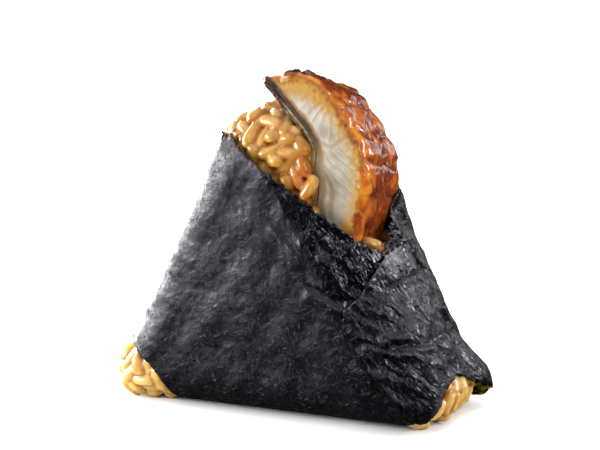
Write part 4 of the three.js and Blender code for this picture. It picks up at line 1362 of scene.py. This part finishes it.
# A strip of painted sheen on the right flank, towards the front and low down.
flank_sheen = 0.15 * rising(0.66, 0.86, flap_out[:, 0]) * rising(9, -2, flap_points[:, 1])
flap_worn = np.maximum(flap_worn, flank_sheen * rising(48, 38, flap_points[:, 2]))
free_edge = -polygon_distance(flap_points[:, [0, 2]], FLAP)
flap_lift = lerp(FLAP_LIFT, FLAP_TUCK, rising(0, 11, flap_points[:, 1]))
lifted = rising(0.1, 0.6, 0.5 + 0.5 * lumps(flap_points, 7, 1, 52))
flap_lift += EDGE_LIFT * rising(3, 0, free_edge) * lifted
flap_relief = sheet_relief(flap_points, flap_out) + flap_lift
own_wrinkles = ridged(drawn_out(flap_points, PULL, 3), 3.4, 3, 53) - 0.5
flap_relief += rising(11, 4, flap_points[:, 1]) * FLAP_WRINKLES * own_wrinkles
flap_points = flap_points + sheet_course(flap_points, flap_out) + flap_out * flap_relief[:, None]
flap_points = off_the_eel(flap_points, 2 * NORI_THICKNESS + EEL_CLEARANCE + FLAP_CLEARANCE)
flap_points, flap_faces, _ = thickened(flap_points, flap_faces, NORI_THICKNESS)
flap = make_piece(
    "nori_flap", flap_points, flap_faces, nori_finish, drawn=np.tile(flap_drawn, 2),
    worn=np.tile(flap_worn, 2),
)
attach(flap, "root")
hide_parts("nori")

# ---------------------------------------------------------------- floor, light and camera
# A wide pale floor under a pale sky and a very large overhead light. Low soft lights go round the
# object: the strongest are at its left and behind its left shoulder, and give the nori its sheen.
FLOOR_HALF = 6.0  # in metres, as is all from here on
floor_corners = [(x * FLOOR_HALF, y * FLOOR_HALF, 0) for x, y in ((-1, -1), (1, -1), (1, 1), (-1, 1))]
floor_mesh = bpy.data.meshes.new("floor")
floor_mesh.from_pydata(floor_corners, [], [(0, 1, 2, 3)])
floor = bpy.data.objects.new("floor", floor_mesh)
bpy.context.scene.collection.objects.link(floor)
floor_finish, _, floor_shader = new_finish("floor")
same_all_over(floor_shader, {
    "Base Color": (0.86, 0.86, 0.86, 1), "Roughness": 0.9, "Specular IOR Level": 0.1,
})
floor_mesh.materials.append(floor_finish)
floor.visible_glossy = False  # the floor lights the object but is not mirrored in its gloss

world = bpy.data.worlds.new("studio")
world.use_nodes = True
sky = world.node_tree
sky_way = sky.nodes.new("ShaderNodeTexCoord")
sky_parts = sky.nodes.new("ShaderNodeSeparateXYZ")
sky.links.new(sky_way.outputs["Generated"], sky_parts.inputs[0])
sky_level = ramp(sky, sky_parts.outputs["Z"], 0.7, 0.94, 0.03, 1.6)
sky.links.new(sky_level, sky.nodes["Background"].inputs["Strength"])
sky.nodes["Background"].inputs["Color"].default_value = (1, 1, 1, 1)
bpy.context.scene.world = world

TARGET = Vector((0.001, 0, 0.0452))  # what the lights and the camera point at


def way_to(azimuth, elevation):
    """The direction from the object; azimuth 0 is the front, positive to the right."""
    a, e = math.radians(azimuth), math.radians(elevation)
    return Vector((math.sin(a) * math.cos(e), -math.cos(a) * math.cos(e), math.sin(e)))


def soft_light(name, azimuth, elevation, distance, size, power):
    """A flat light of the given width and height, turned to the object."""
    data = bpy.data.lights.new(name, "AREA")
    data.shape = "RECTANGLE"
    data.size, data.size_y = size
    data.energy = power
    light = bpy.data.objects.new(name, data)
    way = way_to(azimuth, elevation)
    light.location = TARGET + way * distance
    light.rotation_euler = (-way).to_track_quat("-Z", "Y").to_euler()
    bpy.context.scene.collection.objects.link(light)
    return light


overhead = soft_light("overhead", 0, 89, 2.5, (6, 6), 130)
overhead.visible_glossy = False  # it lights what is matt, and leaves no haze on what is glossy
soft_light("key", -44, 10, 0.24, (0.08, 0.1), 0.38)
soft_light("left", -76, 8, 0.5, (0.44, 0.2), 3.8)
soft_light("rim", -124, 6, 0.5, (0.36, 0.2), 8.0)
soft_light("side", 112, 20, 0.4, (0.1, 0.2), 1.1)
soft_light("right", 54, 22, 0.4, (0.04, 0.2), 0.4)
soft_light("back", 160, 10, 0.5, (0.26, 0.14), 0.16)
soft_light("fill", 8, 34, 0.6, (0.14, 0.14), 0.3)

CAMERA_AZIMUTH = 24
CAMERA_ELEVATION = 11
CAMERA_DISTANCE = 0.48
CAMERA_SENSOR = 36  # its width and the lens in millimetres, as Blender takes them
CAMERA_LENS = 115.2
camera_data = bpy.data.cameras.new("camera")
camera_data.sensor_width = CAMERA_SENSOR
camera_data.lens = CAMERA_LENS
camera = bpy.data.objects.new("camera", camera_data)
camera_way = way_to(CAMERA_AZIMUTH, CAMERA_ELEVATION)
camera.location = TARGET + camera_way * CAMERA_DISTANCE
camera.rotation_euler = camera_way.to_track_quat("Z", "Y").to_euler()
bpy.context.scene.collection.objects.link(camera)
bpy.context.scene.camera = camera
bpy.context.scene.view_settings.view_transform = "Standard"
